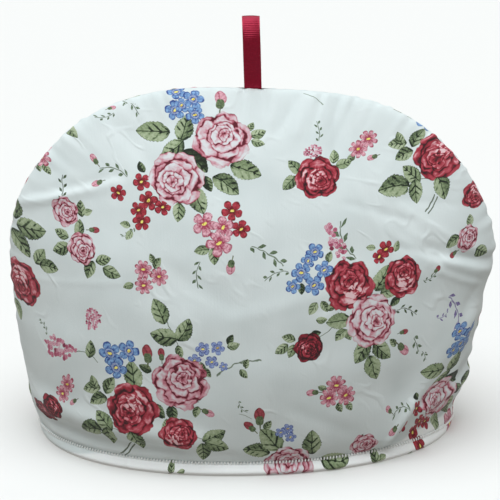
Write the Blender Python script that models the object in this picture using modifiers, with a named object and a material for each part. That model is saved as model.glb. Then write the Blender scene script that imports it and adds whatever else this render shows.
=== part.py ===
"""Tea cosy: two padded cotton panels sewn together along an arch, and a ribbon loop in the seam.

The hem stands on z = 0. X runs along the cosy, Y from its front to its back and Z up.
Every size is in metres.
"""

import bpy
import numpy as np

# Driving sizes of the whole cosy.
HALF_WIDTH = 0.1785  # at the widest place of the arch
HEIGHT = 0.2625  # hem to the crown of the seam
WIDEST_Z = 0.142  # height of the widest place

# The two halves of the arch are unlike. Below the widest place the side draws in to the hem by
# a power of the height. Above it, rise and span are the two powers of the arc to the crown.
LEFT = {"half_hem": 0.1645, "taper": 2.1, "rise": 1.88, "span": 2.95}
RIGHT = {"half_hem": 0.1545, "taper": 1.2, "rise": 1.55, "span": 2.75}

# How far a panel stands out from the seam plane.
DEEPEST = 0.094
DEEPEST_Z = 0.055
UNDERCUT = 0.005  # the hem stands this much further in than the deepest place
FALL_POWER = 0.9  # how the middle of the panel falls back to the crown
ACROSS_POWER = 2.1
HEM_ROUND = 0.50  # power of the rounding at the side seam: near an ellipse at the hem
CROWN_ROUND = 0.70  # and flatter, like a lens, at the crown
SHIFT = 0.05  # the deepest place of the hem lies left of the middle

# The wall: outer cotton, wadding and inner cotton, taken as one thickness.
WALL = 0.0065
INNER_SHARE = 0.5  # share of each fold, and of the hem's tuck, that reaches the inner skin
SEAM_GAP = 0.00015  # each panel stays this far from the seam plane
SEAM_PUFF = 0.0016  # the wadding swells beside the seam
SEAM_PUFF_AT = 0.006  # at this depth from the seam plane
SEAM_HOLD = 0.020  # the seams hold the folds flat nearer than this
HEM_HOLD = 0.012  # and so does the hem

# The hem, turned up and stitched down into a plump roll.
HEM_HEIGHT = 0.0095
HEM_TUCK = 0.0040  # how far the stitches draw the panel in
HEM_TUCK_REACH = 0.009
HEM_ROLL = 0.0030
HEM_ROLL_Z = 0.0040
HEM_SIDE_EASE = 0.7  # share of the tuck and the roll that is lost at the side seams
HEM_ROWS = 5

# How the faces are spread over a panel.
SHOULDER = 0.47  # share of each half of the arch that counts as a side, and not as the crown
SIDE_GRADING = 0.75  # 0 spaces the columns evenly, 1 gathers them at the side seams like a sine
ROW_GRADING = 0.55  # 0 spaces the rows evenly, 1 gathers them at the hem and the crown
FRONT_GRID = (44, 22)  # columns, and rows above the hem
BACK_GRID = (36, 18)
LOOP_STEPS = (9, 12)  # of half the crown, and of one leg

# The ribbon of the loop.
RIBBON_WIDTH = 0.013
RIBBON_THICKNESS = 0.0010
RIBBON_FOOT_Z = 0.2556
RIBBON_SIDE_GAP = 0.0003
LOOP_TOP_Z = 0.3128
LOOP_HALF = 0.0054  # half the loop's width in side view, where its crown springs
LOOP_CROWN = 0.0095  # height of the crown
LOOP_FLAT = 0.0024  # length of the flat at the top of the crown, where the loop hangs
LOOP_CLOSED = 0.16  # share of each leg, from its foot, that lies flat on the other
LOOP_TURN = 0.20  # radians, how far the crown of the loop is turned
LOOP_SLANT = -0.0018  # how far its crown stands to the left of its foot
RECESS_HALF = 0.009  # the seam opens round the ribbon over this half length
RECESS_FADE = 0.012

COTTON = (0.62, 0.71, 0.70, 1.0)
RIBBON_RED = (0.28, 0.012, 0.028, 1.0)

FOLD_END = 1.6  # a fold fades past its ends over this many of its half widths
# Main folds, one row each: a line across the panel in front view, the half width of the fold
# and its rise. A fold whose rise is below zero is a trough.
FRONT_FOLDS = [
    # from_x, from_z,  to_x,   to_z,  half_width, rise
    (-0.172, 0.188, -0.096, 0.209, 0.0070, -0.0024),
    (-0.172, 0.174, -0.096, 0.195, 0.0080, 0.0016),
    (0.108, 0.172, 0.172, 0.146, 0.0080, -0.0030),
    (0.126, 0.152, 0.176, 0.130, 0.0075, 0.0034),
    (0.166, 0.080, 0.130, 0.026, 0.0150, -0.0055),
    (0.150, 0.092, 0.092, 0.018, 0.0110, 0.0030),
    (-0.150, 0.036, -0.050, 0.026, 0.0080, 0.0030),
    (-0.156, 0.018, -0.108, 0.015, 0.0060, -0.0032),
]
BACK_FOLDS = [
    (-0.170, 0.120, -0.090, 0.142, 0.0090, -0.0028),
    (-0.150, 0.060, -0.100, 0.020, 0.0120, -0.0040),
    (0.160, 0.165, 0.085, 0.185, 0.0080, -0.0026),
    (0.156, 0.048, 0.060, 0.030, 0.0090, 0.0030),
]

# Dents and swells of the side seams, one row each. A side of 1 is the right, -1 the left.
OUTLINE_DENTS = [
    # side, height, half_width, rise
    (1, 0.146, 0.012, 0.0012),
    (1, 0.094, 0.012, -0.0010),
    (-1, 0.092, 0.026, 0.0016),
    (-1, 0.032, 0.016, -0.0014),
]


def by_side(x, column):
    """A column of the two halves' table, for points left and right of the middle."""
    return np.where(x < 0, LEFT[column], RIGHT[column])


def half_width(x, z, inset=0.0):
    """Half the width of the arch at a height, on the side where x lies."""
    below = np.clip(1 - z / WIDEST_Z, 0, None)
    above = np.clip((z - WIDEST_Z) / (HEIGHT - inset - WIDEST_Z), 0, 1)
    tapered = HALF_WIDTH - (HALF_WIDTH - by_side(x, "half_hem")) * below ** by_side(x, "taper")
    arched = HALF_WIDTH - inset
    arched = arched * (1 - above ** by_side(x, "rise")) ** (1 / by_side(x, "span"))
    return np.where(z < WIDEST_Z, tapered - inset, arched)


def depth(x, z, inset=0.0):
    """How far the panel stands out from the seam plane, before folds and puff are added."""
    below = np.clip(1 - z / DEEPEST_Z, 0, None)
    above = np.clip((z - DEEPEST_Z) / (HEIGHT - inset - DEEPEST_Z), 0, 1)
    middle = (DEEPEST - inset) * (1 - above**2) ** FALL_POWER - UNDERCUT * below**2
    across = np.clip(x / np.maximum(half_width(x, z, inset), 1e-6), -1, 1)
    rounding = HEM_ROUND + (CROWN_ROUND - HEM_ROUND) * np.clip(z / HEIGHT, 0, 1) ** 1.2
    uneven = 1 - SHIFT * across * np.clip(1 - z / WIDEST_Z, 0, 1)
    return middle * (1 - np.abs(across) ** ACROSS_POWER) ** rounding * uneven


def arch(side, inset):
    """One half of the arch from the hem line to the crown, with the share of its length."""
    low = np.linspace(HEM_HEIGHT, WIDEST_Z, 80)
    turn = np.linspace(0, np.pi / 2, 160)[1:]
    arc_x = (HALF_WIDTH - inset) * np.abs(np.cos(turn)) ** (2 / by_side(side, "span"))
    arc_z = (HEIGHT - inset - WIDEST_Z) * np.sin(turn) ** (2 / by_side(side, "rise"))
    x = side * np.append(half_width(side, low, inset), arc_x)
    z = np.append(low, WIDEST_Z + arc_z)
    run = np.append(0, np.cumsum(np.hypot(np.diff(x), np.diff(z))))
    return x, z, run / run[-1]


def plan(even, graded, up, inset):
    """Plan of a panel in the seam plane, its hem roll first and a Coons patch above it.

    The patch is spanned by the hem line, the two sides as far as the shoulders, and the crown.
    """
    side_x, side_z, crown_x, crown_z = [], [], 0 * even, 0 * even
    for side in (-1, 1):
        x, z, run = arch(side, inset)
        side_x.append(np.interp(up * SHOULDER, run, x))
        side_z.append(np.interp(up * SHOULDER, run, z))
        mine = even * side >= 0
        along = 1 - (1 - SHOULDER) * np.abs(even[mine])
        crown_x[mine], crown_z[mine] = np.interp(along, run, x), np.interp(along, run, z)
    right = (1 + graded) / 2
    up = up[:, None]
    sides_x = (1 - right) * side_x[0][:, None] + right * side_x[1][:, None]
    sides_z = (1 - right) * side_z[0][:, None] + right * side_z[1][:, None]
    patch_x = sides_x + up * (crown_x - sides_x[-1])
    patch_z = sides_z + up * (crown_z - sides_z[-1])
    hem_z = np.linspace(0, HEM_HEIGHT, HEM_ROWS + 1)[:-1, None] + 0 * graded
    left_x, right_x = -half_width(-1, hem_z, inset), half_width(1, hem_z, inset)
    hem_x = (1 - right) * left_x + right * right_x
    return np.vstack([hem_x, patch_x]), np.vstack([hem_z, patch_z])


def hem_shape(across, z):
    """Rise of the hem's roll, and of the panel where the stitches draw it in.

    The stitches draw in less towards the side seams, where the wadding ends.
    """
    upper = 1 - ((z - HEM_ROLL_Z) / (HEM_HEIGHT - HEM_ROLL_Z)) ** 2
    lower = 1 - 0.5 * ((HEM_ROLL_Z - z) / HEM_ROLL_Z) ** 2
    roll = HEM_ROLL * np.where(z > HEM_ROLL_Z, upper, lower)
    drawn_in = -HEM_TUCK * np.exp(-np.clip(z - HEM_HEIGHT, 0, None) / HEM_TUCK_REACH)
    rise = drawn_in + np.where(z < HEM_HEIGHT, roll, 0)
    return rise * (1 - HEM_SIDE_EASE * np.abs(across) ** 6)


def fold_shape(x, z, folds):
    """Sum of the folds: each falls away as a bell across its line and past its ends."""
    total = np.zeros_like(x)
    for from_x, from_z, to_x, to_z, spread, rise in folds:
        run_x, run_z = to_x - from_x, to_z - from_z
        length = np.hypot(run_x, run_z)
        along = ((x - from_x) * run_x + (z - from_z) * run_z) / length
        aside = ((x - from_x) * run_z - (z - from_z) * run_x) / length
        past = np.clip(-along, 0, None) + np.clip(along - length, 0, None)
        total += rise * np.exp(-((aside / spread) ** 2) - (past / (FOLD_END * spread)) ** 2)
    return total


def dent_shape(x, z):
    """Dents and swells of the two side seams, fading towards the middle of the panel."""
    total = np.zeros_like(x)
    for side, height, spread, rise in OUTLINE_DENTS:
        near = np.clip(side * x / HALF_WIDTH, 0, 1) ** 3
        total += side * rise * near * np.exp(-(((z - height) / spread) ** 2))
    return total


def seam_gap(x):
    """Half the opening of the seam: it widens round the ribbon's foot."""
    ribbon_half = 1.5 * RIBBON_THICKNESS + RIBBON_SIDE_GAP / 2
    fade = np.clip((np.abs(x) - RECESS_HALF) / RECESS_FADE, 0, 1)
    return SEAM_GAP + (ribbon_half - SEAM_GAP) * (1 - fade) ** 2 * (1 + 2 * fade)


def outward(points):
    """Unit normals of a grid of points, from its two directions."""
    across = np.gradient(points, axis=1)
    up = np.gradient(points, axis=0)
    normal = np.cross(across, up)
    return normal / np.linalg.norm(normal, axis=2, keepdims=True)


def skin(grid, folds, inset):
    """One skin of a front panel, as a grid of points with its rim in the seam plane.

    The inner skin is the same shape drawn in by the wall; it keeps a share of each fold.
    """
    columns, rows = grid
    even = np.linspace(-1, 1, columns + 1)
    graded = even + SIDE_GRADING * (np.sin(even * np.pi / 2) - even)
    step = np.linspace(0, 1, rows + 1)
    up = step + ROW_GRADING * ((1 - np.cos(step * np.pi)) / 2 - step)
    x, z = plan(even, graded, up, inset)
    y = -depth(x, z, inset)
    points = np.stack([x, y, z], axis=2)

    near_seam = -y / SEAM_PUFF_AT
    free = np.clip(-y / SEAM_HOLD, 0, 1) * np.clip((z - HEM_HEIGHT) / HEM_HOLD, 0, 1)
    rise = fold_shape(x, z, folds) * free
    if inset:
        rise = INNER_SHARE * (rise - HEM_TUCK * np.exp(-z / HEM_TUCK_REACH))
    else:
        rise = rise + hem_shape(graded, z) + SEAM_PUFF * near_seam * np.exp(1 - near_seam)
    points += outward(points) * rise[..., None]
    points[..., 0] += dent_shape(x, z)

    rim = np.zeros(x.shape, bool)
    rim[:, [0, -1]] = True
    rim[-1] = True
    gap = seam_gap(points[..., 0]) * (z > WIDEST_Z) + SEAM_GAP * (z <= WIDEST_Z)
    points[..., 1] = np.where(rim, -gap, np.minimum(points[..., 1], -gap))
    points[0, :, 2] = 0
    return points


def lofted_wall(outer, inner):
    """Vertices and faces of a closed wall: two skins and the rims that join them."""
    rows, columns = outer.shape[:2]
    count = rows * columns
    index = np.arange(count).reshape(rows, columns)
    faces = []
    for skin_index, flip in ((index, False), (index + count, True)):
        quads = np.stack(
            [skin_index[:-1, :-1], skin_index[:-1, 1:], skin_index[1:, 1:], skin_index[1:, :-1]],
            axis=-1,
        ).reshape(-1, 4)
        faces.append(quads[:, ::-1] if flip else quads)
    edge = np.concatenate([index[0], index[1:, -1], index[-1, -2::-1], index[-2:0:-1, 0]])
    following = np.roll(edge, -1)
    faces.append(np.stack([following, edge, edge + count, following + count], axis=-1))
    vertices = np.concatenate([outer.reshape(-1, 3), inner.reshape(-1, 3)])
    return vertices, np.concatenate(faces)


def material(name, colour, roughness):
    """A plain Principled material."""
    made = bpy.data.materials.new(name)
    made.use_nodes = True
    surface = made.node_tree.nodes["Principled BSDF"]
    surface.inputs["Base Color"].default_value = colour
    surface.inputs["Roughness"].default_value = roughness
    surface.inputs["Metallic"].default_value = 0.0
    return made


def mesh_object(name, vertices, faces, finish, collection):
    """An object of the given faces, shaded smooth but for its sharp rims."""
    mesh = bpy.data.meshes.new(name)
    mesh.from_pydata(vertices.tolist(), [], faces.tolist())
    mesh.shade_smooth()
    mesh.set_sharp_from_angle(angle=np.radians(50))
    mesh.materials.append(finish)
    made = bpy.data.objects.new(name, mesh)
    collection.objects.link(made)
    return made


def panel(name, grid, folds, behind, collection):
    """A padded panel. The back one mirrors the front one's outline, with its own folds."""
    outer = skin(grid, folds, 0.0)
    inner = skin(grid, folds, WALL)
    vertices, faces = lofted_wall(outer, inner)
    if behind:
        vertices = vertices * np.array([1, -1, 1])
        faces = faces[:, ::-1]
    return mesh_object(name, vertices, faces, material(name, COTTON, 0.85), collection)


def ribbon_path(crown_steps, leg_steps):
    """Side view of the folded ribbon: up the front leg, over the crown, down the back leg.

    The crown is half an ellipse with a short flat on top; each leg draws in below it as a
    smooth step.
    """
    leg = (RIBBON_THICKNESS + RIBBON_SIDE_GAP) / 2
    spring_z = LOOP_TOP_Z - RIBBON_THICKNESS / 2 - LOOP_CROWN
    turn = np.linspace(np.pi / 2, np.arcsin(LOOP_FLAT / 2 / LOOP_HALF), crown_steps + 1)
    down = np.linspace(1, 0, leg_steps + 1)[:-1]
    share = np.clip((down - LOOP_CLOSED) / (1 - LOOP_CLOSED), 0, 1)
    leg_y = leg + (LOOP_HALF - leg) * share**2 * (3 - 2 * share)
    leg_z = RIBBON_FOOT_Z + (spring_z - RIBBON_FOOT_Z) * down
    half_y = np.concatenate([[leg], leg_y[::-1], LOOP_HALF * np.sin(turn[1:])])
    crown_z = spring_z + LOOP_CROWN * np.cos(turn[1:]) / np.cos(turn[-1])
    half_z = np.concatenate([[RIBBON_FOOT_Z], leg_z[::-1], crown_z])
    return np.append(-half_y, half_y[::-1]), np.append(half_z, half_z[::-1])


def hanging_loop(collection):
    """One length of ribbon folded in two, both ends caught between the panels."""
    y, z = ribbon_path(*LOOP_STEPS)
    across = np.linspace(-0.5, 0.5, 5) * RIBBON_WIDTH
    share = np.clip((z - HEIGHT) / (LOOP_TOP_Z - HEIGHT), 0, 1)[:, None]
    turn = LOOP_TURN * share**2
    x = across * np.cos(turn) - y[:, None] * np.sin(turn) + LOOP_SLANT * share
    y = across * np.sin(turn) + y[:, None] * np.cos(turn)
    points = np.stack([x, y, z[:, None] + 0 * across], axis=2)
    rows, columns = points.shape[:2]
    index = np.arange(rows * columns).reshape(rows, columns)
    quads = np.stack([index[:-1, :-1], index[:-1, 1:], index[1:, 1:], index[1:, :-1]], axis=-1)
    finish = material("hanging_loop", RIBBON_RED, 0.45)
    made = mesh_object(
        "hanging_loop", points.reshape(-1, 3), quads.reshape(-1, 4), finish, collection
    )
    thick = made.modifiers.new("thickness", "SOLIDIFY")
    thick.thickness = RIBBON_THICKNESS
    thick.offset = 0
    thick.use_even_offset = True
    return made


def build():
    """Clear the file and make the three pieces."""
    for old in list(bpy.data.objects):
        bpy.data.objects.remove(old, do_unlink=True)
    collection = bpy.data.collections.new("tea_cosy")
    bpy.context.scene.collection.children.link(collection)
    panel("front_panel", FRONT_GRID, FRONT_FOLDS, False, collection)
    panel("back_panel", BACK_GRID, BACK_FOLDS, True, collection)
    hanging_loop(collection)


build()
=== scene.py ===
# %% [markdown]
# A tea cosy keeps a pot warm under a padded dome of flowered cotton. Two panels, front and
# back, are sewn together along an arch; the lower edge is turned up and stitched into a plump
# hem, and a loop of ribbon caught in the crown lifts the cosy off the pot.
# The frame brings in the plain solids of the object. Each one is replaced below by a piece of
# the same size with the folds, stitches, weave and print that the plain solid does not have.

# %% The frame
from functools import partial

import bpy
import numpy as np
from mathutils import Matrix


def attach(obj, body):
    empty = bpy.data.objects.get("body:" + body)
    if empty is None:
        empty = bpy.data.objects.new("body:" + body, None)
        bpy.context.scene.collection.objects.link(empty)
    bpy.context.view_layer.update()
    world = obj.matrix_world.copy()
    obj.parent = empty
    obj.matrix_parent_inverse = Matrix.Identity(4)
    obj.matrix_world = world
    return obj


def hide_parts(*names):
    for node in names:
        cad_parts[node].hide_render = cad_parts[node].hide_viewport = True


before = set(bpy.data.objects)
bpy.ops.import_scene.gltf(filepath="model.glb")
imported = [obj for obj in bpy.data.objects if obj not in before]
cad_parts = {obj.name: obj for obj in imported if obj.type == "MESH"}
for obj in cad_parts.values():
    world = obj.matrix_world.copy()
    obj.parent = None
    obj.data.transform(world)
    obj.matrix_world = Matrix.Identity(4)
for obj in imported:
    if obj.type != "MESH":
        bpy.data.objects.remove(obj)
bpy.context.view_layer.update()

scene = bpy.context.scene

# %% [markdown]
# The camera stands a little left of the middle and looks down on the cosy, as one looks at a
# pot on a table. A long lens keeps the hem and the crown in nearly the same scale. It is made
# first, because every later choice is judged through it. The plain view transform keeps the
# whites of the cotton as pale as they are dyed.

# %% The camera
FRAME_PIXELS, FOCAL_PIXELS = 500, 1277
SENSOR_WIDTH = 36
CAMERA_PLACE = (-0.0322, -0.90, 0.438)
LOOKS_DOWN, LOOKS_RIGHT = 18.32, 1.88

camera_data = bpy.data.cameras.new("camera")
camera_data.sensor_width = SENSOR_WIDTH
camera_data.lens = FOCAL_PIXELS / FRAME_PIXELS * SENSOR_WIDTH
camera = bpy.data.objects.new("camera", camera_data)
camera.location = CAMERA_PLACE
camera.rotation_euler = (np.radians(90 - LOOKS_DOWN), 0, np.radians(-LOOKS_RIGHT))
scene.collection.objects.link(camera)
scene.camera = camera
scene.view_settings.view_transform = "Standard"
print("lens, mm:", round(camera_data.lens, 1))

# %% [markdown]
# The arch of the two panels. It could be drawn as a curve by hand, but four powers give it
# from a few sizes: below its widest place each side draws in to the hem, and above it the
# side rises to the crown as a rounded corner. The left and right halves are cut unlike, as
# on most hand-sewn cosies, so each has its own powers.

# %% The arch
HALF_WIDTH = 0.1785
HEIGHT = 0.2625
WIDEST_Z = 0.142
LEFT = {"half_hem": 0.1645, "taper": 2.1, "rise": 1.88, "span": 2.95}
RIGHT = {"half_hem": 0.1545, "taper": 1.2, "rise": 1.55, "span": 2.75}


def by_side(x, column):
    """A number of the left half's table where x is below zero, else of the right half's."""
    return np.where(x < 0, LEFT[column], RIGHT[column])


def half_width(x, z, inset=0.0):
    """Half the width of the arch at a height.

    Below the widest place it is the greatest half width less a power of the way down; above,
    the greatest half width times (1 - height share to the rise) to one over the span.
    """
    below = np.clip(1 - z / WIDEST_Z, 0, None)
    above = np.clip((z - WIDEST_Z) / (HEIGHT - inset - WIDEST_Z), 0, 1)
    tapered = HALF_WIDTH - (HALF_WIDTH - by_side(x, "half_hem")) * below ** by_side(x, "taper")
    arched = (HALF_WIDTH - inset) * (1 - above ** by_side(x, "rise")) ** (1 / by_side(x, "span"))
    return np.where(z < WIDEST_Z, tapered - inset, arched)


print("half width at the hem, mm:", half_width(np.array([-1, 1]), 0.0) * 1000)

# %% [markdown]
# How far a panel stands out from the seam. A padded panel bulges like a sail: most near the
# hem, falling back to the crown, and rounding off at the side seams. A cloth simulation
# could blow it up, but the bulge is known from the solid, so a product of two rounded curves
# gives it exactly and the piece stays where the solid is.

# %% The bulge
DEEPEST = 0.094
DEEPEST_Z = 0.055
UNDERCUT = 0.005
FALL_POWER = 0.9
ACROSS_POWER = 2.1
HEM_ROUND = 0.50
CROWN_ROUND = 0.70
ROUND_GROWTH = 1.2
SHIFT = 0.05


def depth(x, z, inset=0.0):
    """Depth of a panel: a rounded fall from the deepest height to the crown, times a rounded
    curve across from seam to seam whose power grows with the height."""
    below = np.clip(1 - z / DEEPEST_Z, 0, None)
    above = np.clip((z - DEEPEST_Z) / (HEIGHT - inset - DEEPEST_Z), 0, 1)
    middle = (DEEPEST - inset) * (1 - above**2) ** FALL_POWER - UNDERCUT * below**2
    across = np.clip(x / np.maximum(half_width(x, z, inset), 1e-6), -1, 1)
    rounding = HEM_ROUND + (CROWN_ROUND - HEM_ROUND) * np.clip(z / HEIGHT, 0, 1) ** ROUND_GROWTH
    uneven = 1 - SHIFT * across * np.clip(1 - z / WIDEST_Z, 0, 1)
    return middle * (1 - np.abs(across) ** ACROSS_POWER) ** rounding * uneven


print("depth half way up, mm:", round(float(depth(0.0, HEIGHT / 2)) * 1000, 1))

# %% [markdown]
# The grid of a panel. Rows that run from hem to crown and columns from seam to seam must end
# on the arch, so the patch between the hem line, the two sides and the crown is filled by
# blending its four edges. Rows and columns crowd together at the edges, where the cloth
# turns fastest, and in the hem, which is less than 10 mm high.

# %% The grid
HEM_HEIGHT = 0.0077
SHOULDER = 0.47
SIDE_GRADING = 0.75
ROW_GRADING = 0.55
COLUMNS, ROWS, HEM_ROWS = 240, 172, 14
SIDE_POINTS, ARC_POINTS = 160, 400


def arch(side, inset):
    """One half of the arch, from the hem line to the crown, and the share of its length."""
    low = np.linspace(HEM_HEIGHT, WIDEST_Z, SIDE_POINTS)
    turn = np.linspace(0, np.pi / 2, ARC_POINTS)[1:]
    arc_x = (HALF_WIDTH - inset) * np.abs(np.cos(turn)) ** (2 / by_side(side, "span"))
    arc_z = (HEIGHT - inset - WIDEST_Z) * np.sin(turn) ** (2 / by_side(side, "rise"))
    x = side * np.append(half_width(side, low, inset), arc_x)
    z = np.append(low, WIDEST_Z + arc_z)
    run = np.append(0, np.cumsum(np.hypot(np.diff(x), np.diff(z))))
    return x, z, run / run[-1]


def plan(even, graded, up, inset):
    """Plan of a panel: straight rows for the hem, then a patch that blends its four edges.

    Each point is the blend of the two sides at its height, plus its height share times the
    difference between the crown and the line between the shoulders.
    """
    side_x, side_z, crown_x, crown_z = [], [], 0 * even, 0 * even
    for side in (-1, 1):
        x, z, run = arch(side, inset)
        side_x.append(np.interp(up * SHOULDER, run, x))
        side_z.append(np.interp(up * SHOULDER, run, z))
        mine = even * side >= 0
        along = 1 - (1 - SHOULDER) * np.abs(even[mine])
        crown_x[mine], crown_z[mine] = np.interp(along, run, x), np.interp(along, run, z)
    right = (1 + graded) / 2
    up = up[:, None]
    sides_x = (1 - right) * side_x[0][:, None] + right * side_x[1][:, None]
    sides_z = (1 - right) * side_z[0][:, None] + right * side_z[1][:, None]
    patch_x = sides_x + up * (crown_x - sides_x[-1])
    patch_z = sides_z + up * (crown_z - sides_z[-1])
    hem_z = np.linspace(0, HEM_HEIGHT, HEM_ROWS + 1)[:-1, None] + 0 * graded
    hem_x = -(1 - right) * half_width(-1, hem_z, inset) + right * half_width(1, hem_z, inset)
    return np.vstack([hem_x, patch_x]), np.vstack([hem_z, patch_z])


even = np.linspace(-1, 1, COLUMNS + 1)
graded = even + SIDE_GRADING * (np.sin(even * np.pi / 2) - even)
step = np.linspace(0, 1, ROWS + 1)
up = step + ROW_GRADING * ((1 - np.cos(step * np.pi)) / 2 - step)
print("points in one skin:", (COLUMNS + 1) * (ROWS + 1 + HEM_ROWS))

# %% [markdown]
# The hem is turned up over the wadding and stitched down, so it swells into a roll, and the
# stitches draw the cloth above it in. The roll is two power curves that meet at its fullest
# height; the drawn-in cloth recovers over the next centimetre. A narrow groove marks the
# line of the stitches.

# %% The hem's shape
HEM_TUCK = 0.0056
HEM_TUCK_REACH = 0.010
HEM_ROLL = 0.0060
HEM_ROLL_Z = 0.0026
HEM_ROLL_POWER, HEM_TURNED_UNDER = 1.7, 0.3
HEM_SIDE_EASE, HEM_SIDE_POWER = 0.7, 6
GROOVE, GROOVE_HALF, GROOVE_ABOVE = 0.0004, 0.0011, 0.0002


def hem_shape(across, z):
    """Rise of the roll and of the drawn-in cloth above it, eased towards the side seams."""
    upper = 1 - np.abs((z - HEM_ROLL_Z) / (HEM_HEIGHT - HEM_ROLL_Z)) ** HEM_ROLL_POWER
    lower = 1 - HEM_TURNED_UNDER * ((HEM_ROLL_Z - z) / HEM_ROLL_Z) ** 2
    roll = HEM_ROLL * np.where(z > HEM_ROLL_Z, upper, lower)
    drawn_in = -HEM_TUCK * np.exp(-np.clip(z - HEM_HEIGHT, 0, None) / HEM_TUCK_REACH)
    groove = -GROOVE * np.exp(-(((z - HEM_HEIGHT - GROOVE_ABOVE) / GROOVE_HALF) ** 2))
    rise = drawn_in + groove + np.where(z < HEM_HEIGHT, roll, 0)
    return rise * (1 - HEM_SIDE_EASE * np.abs(across) ** HEM_SIDE_POWER)


hem_heights = np.array([HEM_ROLL_Z, HEM_HEIGHT])
print("hem and its stitched line stand out, mm:", hem_shape(0.0, hem_heights).round(4) * 1000)

# %% [markdown]
# Folds. Padded cotton does not hang in long drapes; it buckles into a few soft troughs and
# ridges. Each is one row of a table: where its line starts and ends, in metres across and
# up, half the width of its bell-shaped section, and how far it rises, less than nothing for
# a trough. The inner skin of the panel follows them by half.

# %% Folds
FRONT_FOLDS = [
    # from_x, from_z,  to_x,   to_z,  half_width, rise
    (-0.172, 0.186, -0.096, 0.207, 0.0036, -0.0006),
    (-0.172, 0.180, -0.096, 0.201, 0.0036, 0.0006),
    (0.124, 0.157, 0.176, 0.135, 0.0046, -0.0016),
    (0.136, 0.145, 0.180, 0.124, 0.0040, 0.0013),
    (0.166, 0.080, 0.130, 0.030, 0.0140, -0.0014),
    (0.150, 0.092, 0.092, 0.018, 0.0110, 0.0024),
    (-0.150, 0.038, -0.050, 0.030, 0.0090, 0.0032),
    (-0.156, 0.019, -0.060, 0.016, 0.0056, -0.0030),
]
BACK_FOLDS = [
    # from_x, from_z,  to_x,   to_z,  half_width, rise
    (-0.170, 0.120, -0.090, 0.142, 0.0090, -0.0028),
    (-0.150, 0.060, -0.100, 0.020, 0.0120, -0.0040),
    (0.160, 0.165, 0.085, 0.185, 0.0080, -0.0026),
    (0.156, 0.048, 0.060, 0.030, 0.0090, 0.0030),
]
FOLD_END = 1.6


def fold_shape(x, z, folds):
    """Sum over the folds of rise times a bell of the distance aside, over its half width, and
    of the distance past its ends, over a longer fade."""
    total = np.zeros_like(x)
    for from_x, from_z, to_x, to_z, spread, rise in folds:
        run_x, run_z = to_x - from_x, to_z - from_z
        length = np.hypot(run_x, run_z)
        along = ((x - from_x) * run_x + (z - from_z) * run_z) / length
        aside = ((x - from_x) * run_z - (z - from_z) * run_x) / length
        past = np.clip(-along, 0, None) + np.clip(along - length, 0, None)
        total += rise * np.exp(-((aside / spread) ** 2) - (past / (FOLD_END * spread)) ** 2)
    return total


print("folds of the front and the back:", len(FRONT_FOLDS), len(BACK_FOLDS))

# %% [markdown]
# Creases. Where the wadding is pinched the cotton breaks into sharper and narrower lines,
# most of them along the edges of the folds, at the lower corners and under the crown. They
# are rows of the same kind, but only the outer skin shows them.

# %% Creases
FRONT_CREASES = [
    # from_x, from_z,  to_x,   to_z,  half_width, rise
    (-0.168, 0.181, -0.138, 0.190, 0.0030, 0.0010),
    (-0.140, 0.190, -0.100, 0.203, 0.0028, 0.0008),
    (-0.154, 0.132, -0.095, 0.139, 0.0022, 0.00025),
    (0.166, 0.021, 0.120, 0.015, 0.0085, -0.0040),
    (0.168, 0.045, 0.120, 0.036, 0.0060, 0.0026),
    (-0.152, 0.023, -0.122, 0.018, 0.0050, -0.0018),
    (0.100, 0.160, 0.160, 0.141, 0.0026, -0.0006),
    (0.092, 0.172, 0.130, 0.140, 0.0026, 0.0004),
    (0.110, 0.180, 0.160, 0.148, 0.0026, 0.0004),
    (0.064, 0.190, 0.110, 0.176, 0.0028, -0.0005),
    (0.070, 0.200, 0.096, 0.150, 0.0030, 0.0004),
    (0.148, 0.148, 0.172, 0.138, 0.0026, -0.0010),
    (0.132, 0.138, 0.164, 0.121, 0.0026, 0.0009),
    (0.098, 0.176, 0.128, 0.158, 0.0026, 0.0004),
    (0.090, 0.181, 0.118, 0.166, 0.0028, -0.0004),
    (0.104, 0.190, 0.140, 0.182, 0.0030, -0.0004),
    (0.150, 0.060, 0.122, 0.040, 0.0040, 0.0016),
    (0.110, 0.044, 0.093, 0.014, 0.0032, 0.0024),
    (0.119, 0.042, 0.102, 0.012, 0.0036, -0.0026),
    (0.160, 0.096, 0.146, 0.070, 0.0050, 0.0012),
    (0.164, 0.120, 0.150, 0.100, 0.0050, -0.0012),
    (0.030, 0.256, 0.018, 0.238, 0.0034, -0.0008),
    (0.040, 0.256, 0.030, 0.236, 0.0036, 0.0008),
    (0.058, 0.252, 0.056, 0.226, 0.0046, -0.0008),
    (0.068, 0.250, 0.068, 0.226, 0.0050, 0.0007),
    (-0.010, 0.256, -0.012, 0.240, 0.0036, -0.0006),
    (0.016, 0.256, 0.012, 0.244, 0.0034, 0.0006),
    (-0.095, 0.236, -0.070, 0.212, 0.0070, -0.0009),
    (-0.060, 0.150, -0.020, 0.128, 0.0060, -0.0005),
    (-0.010, 0.120, 0.040, 0.132, 0.0060, 0.0005),
    (-0.140, 0.026, -0.060, 0.018, 0.0040, -0.0016),
    (-0.150, 0.011, -0.070, 0.010, 0.0036, 0.0014),
    (-0.060, 0.018, -0.020, 0.016, 0.0040, -0.0010),
    (0.030, 0.050, 0.060, 0.034, 0.0060, -0.0007),
]
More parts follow.
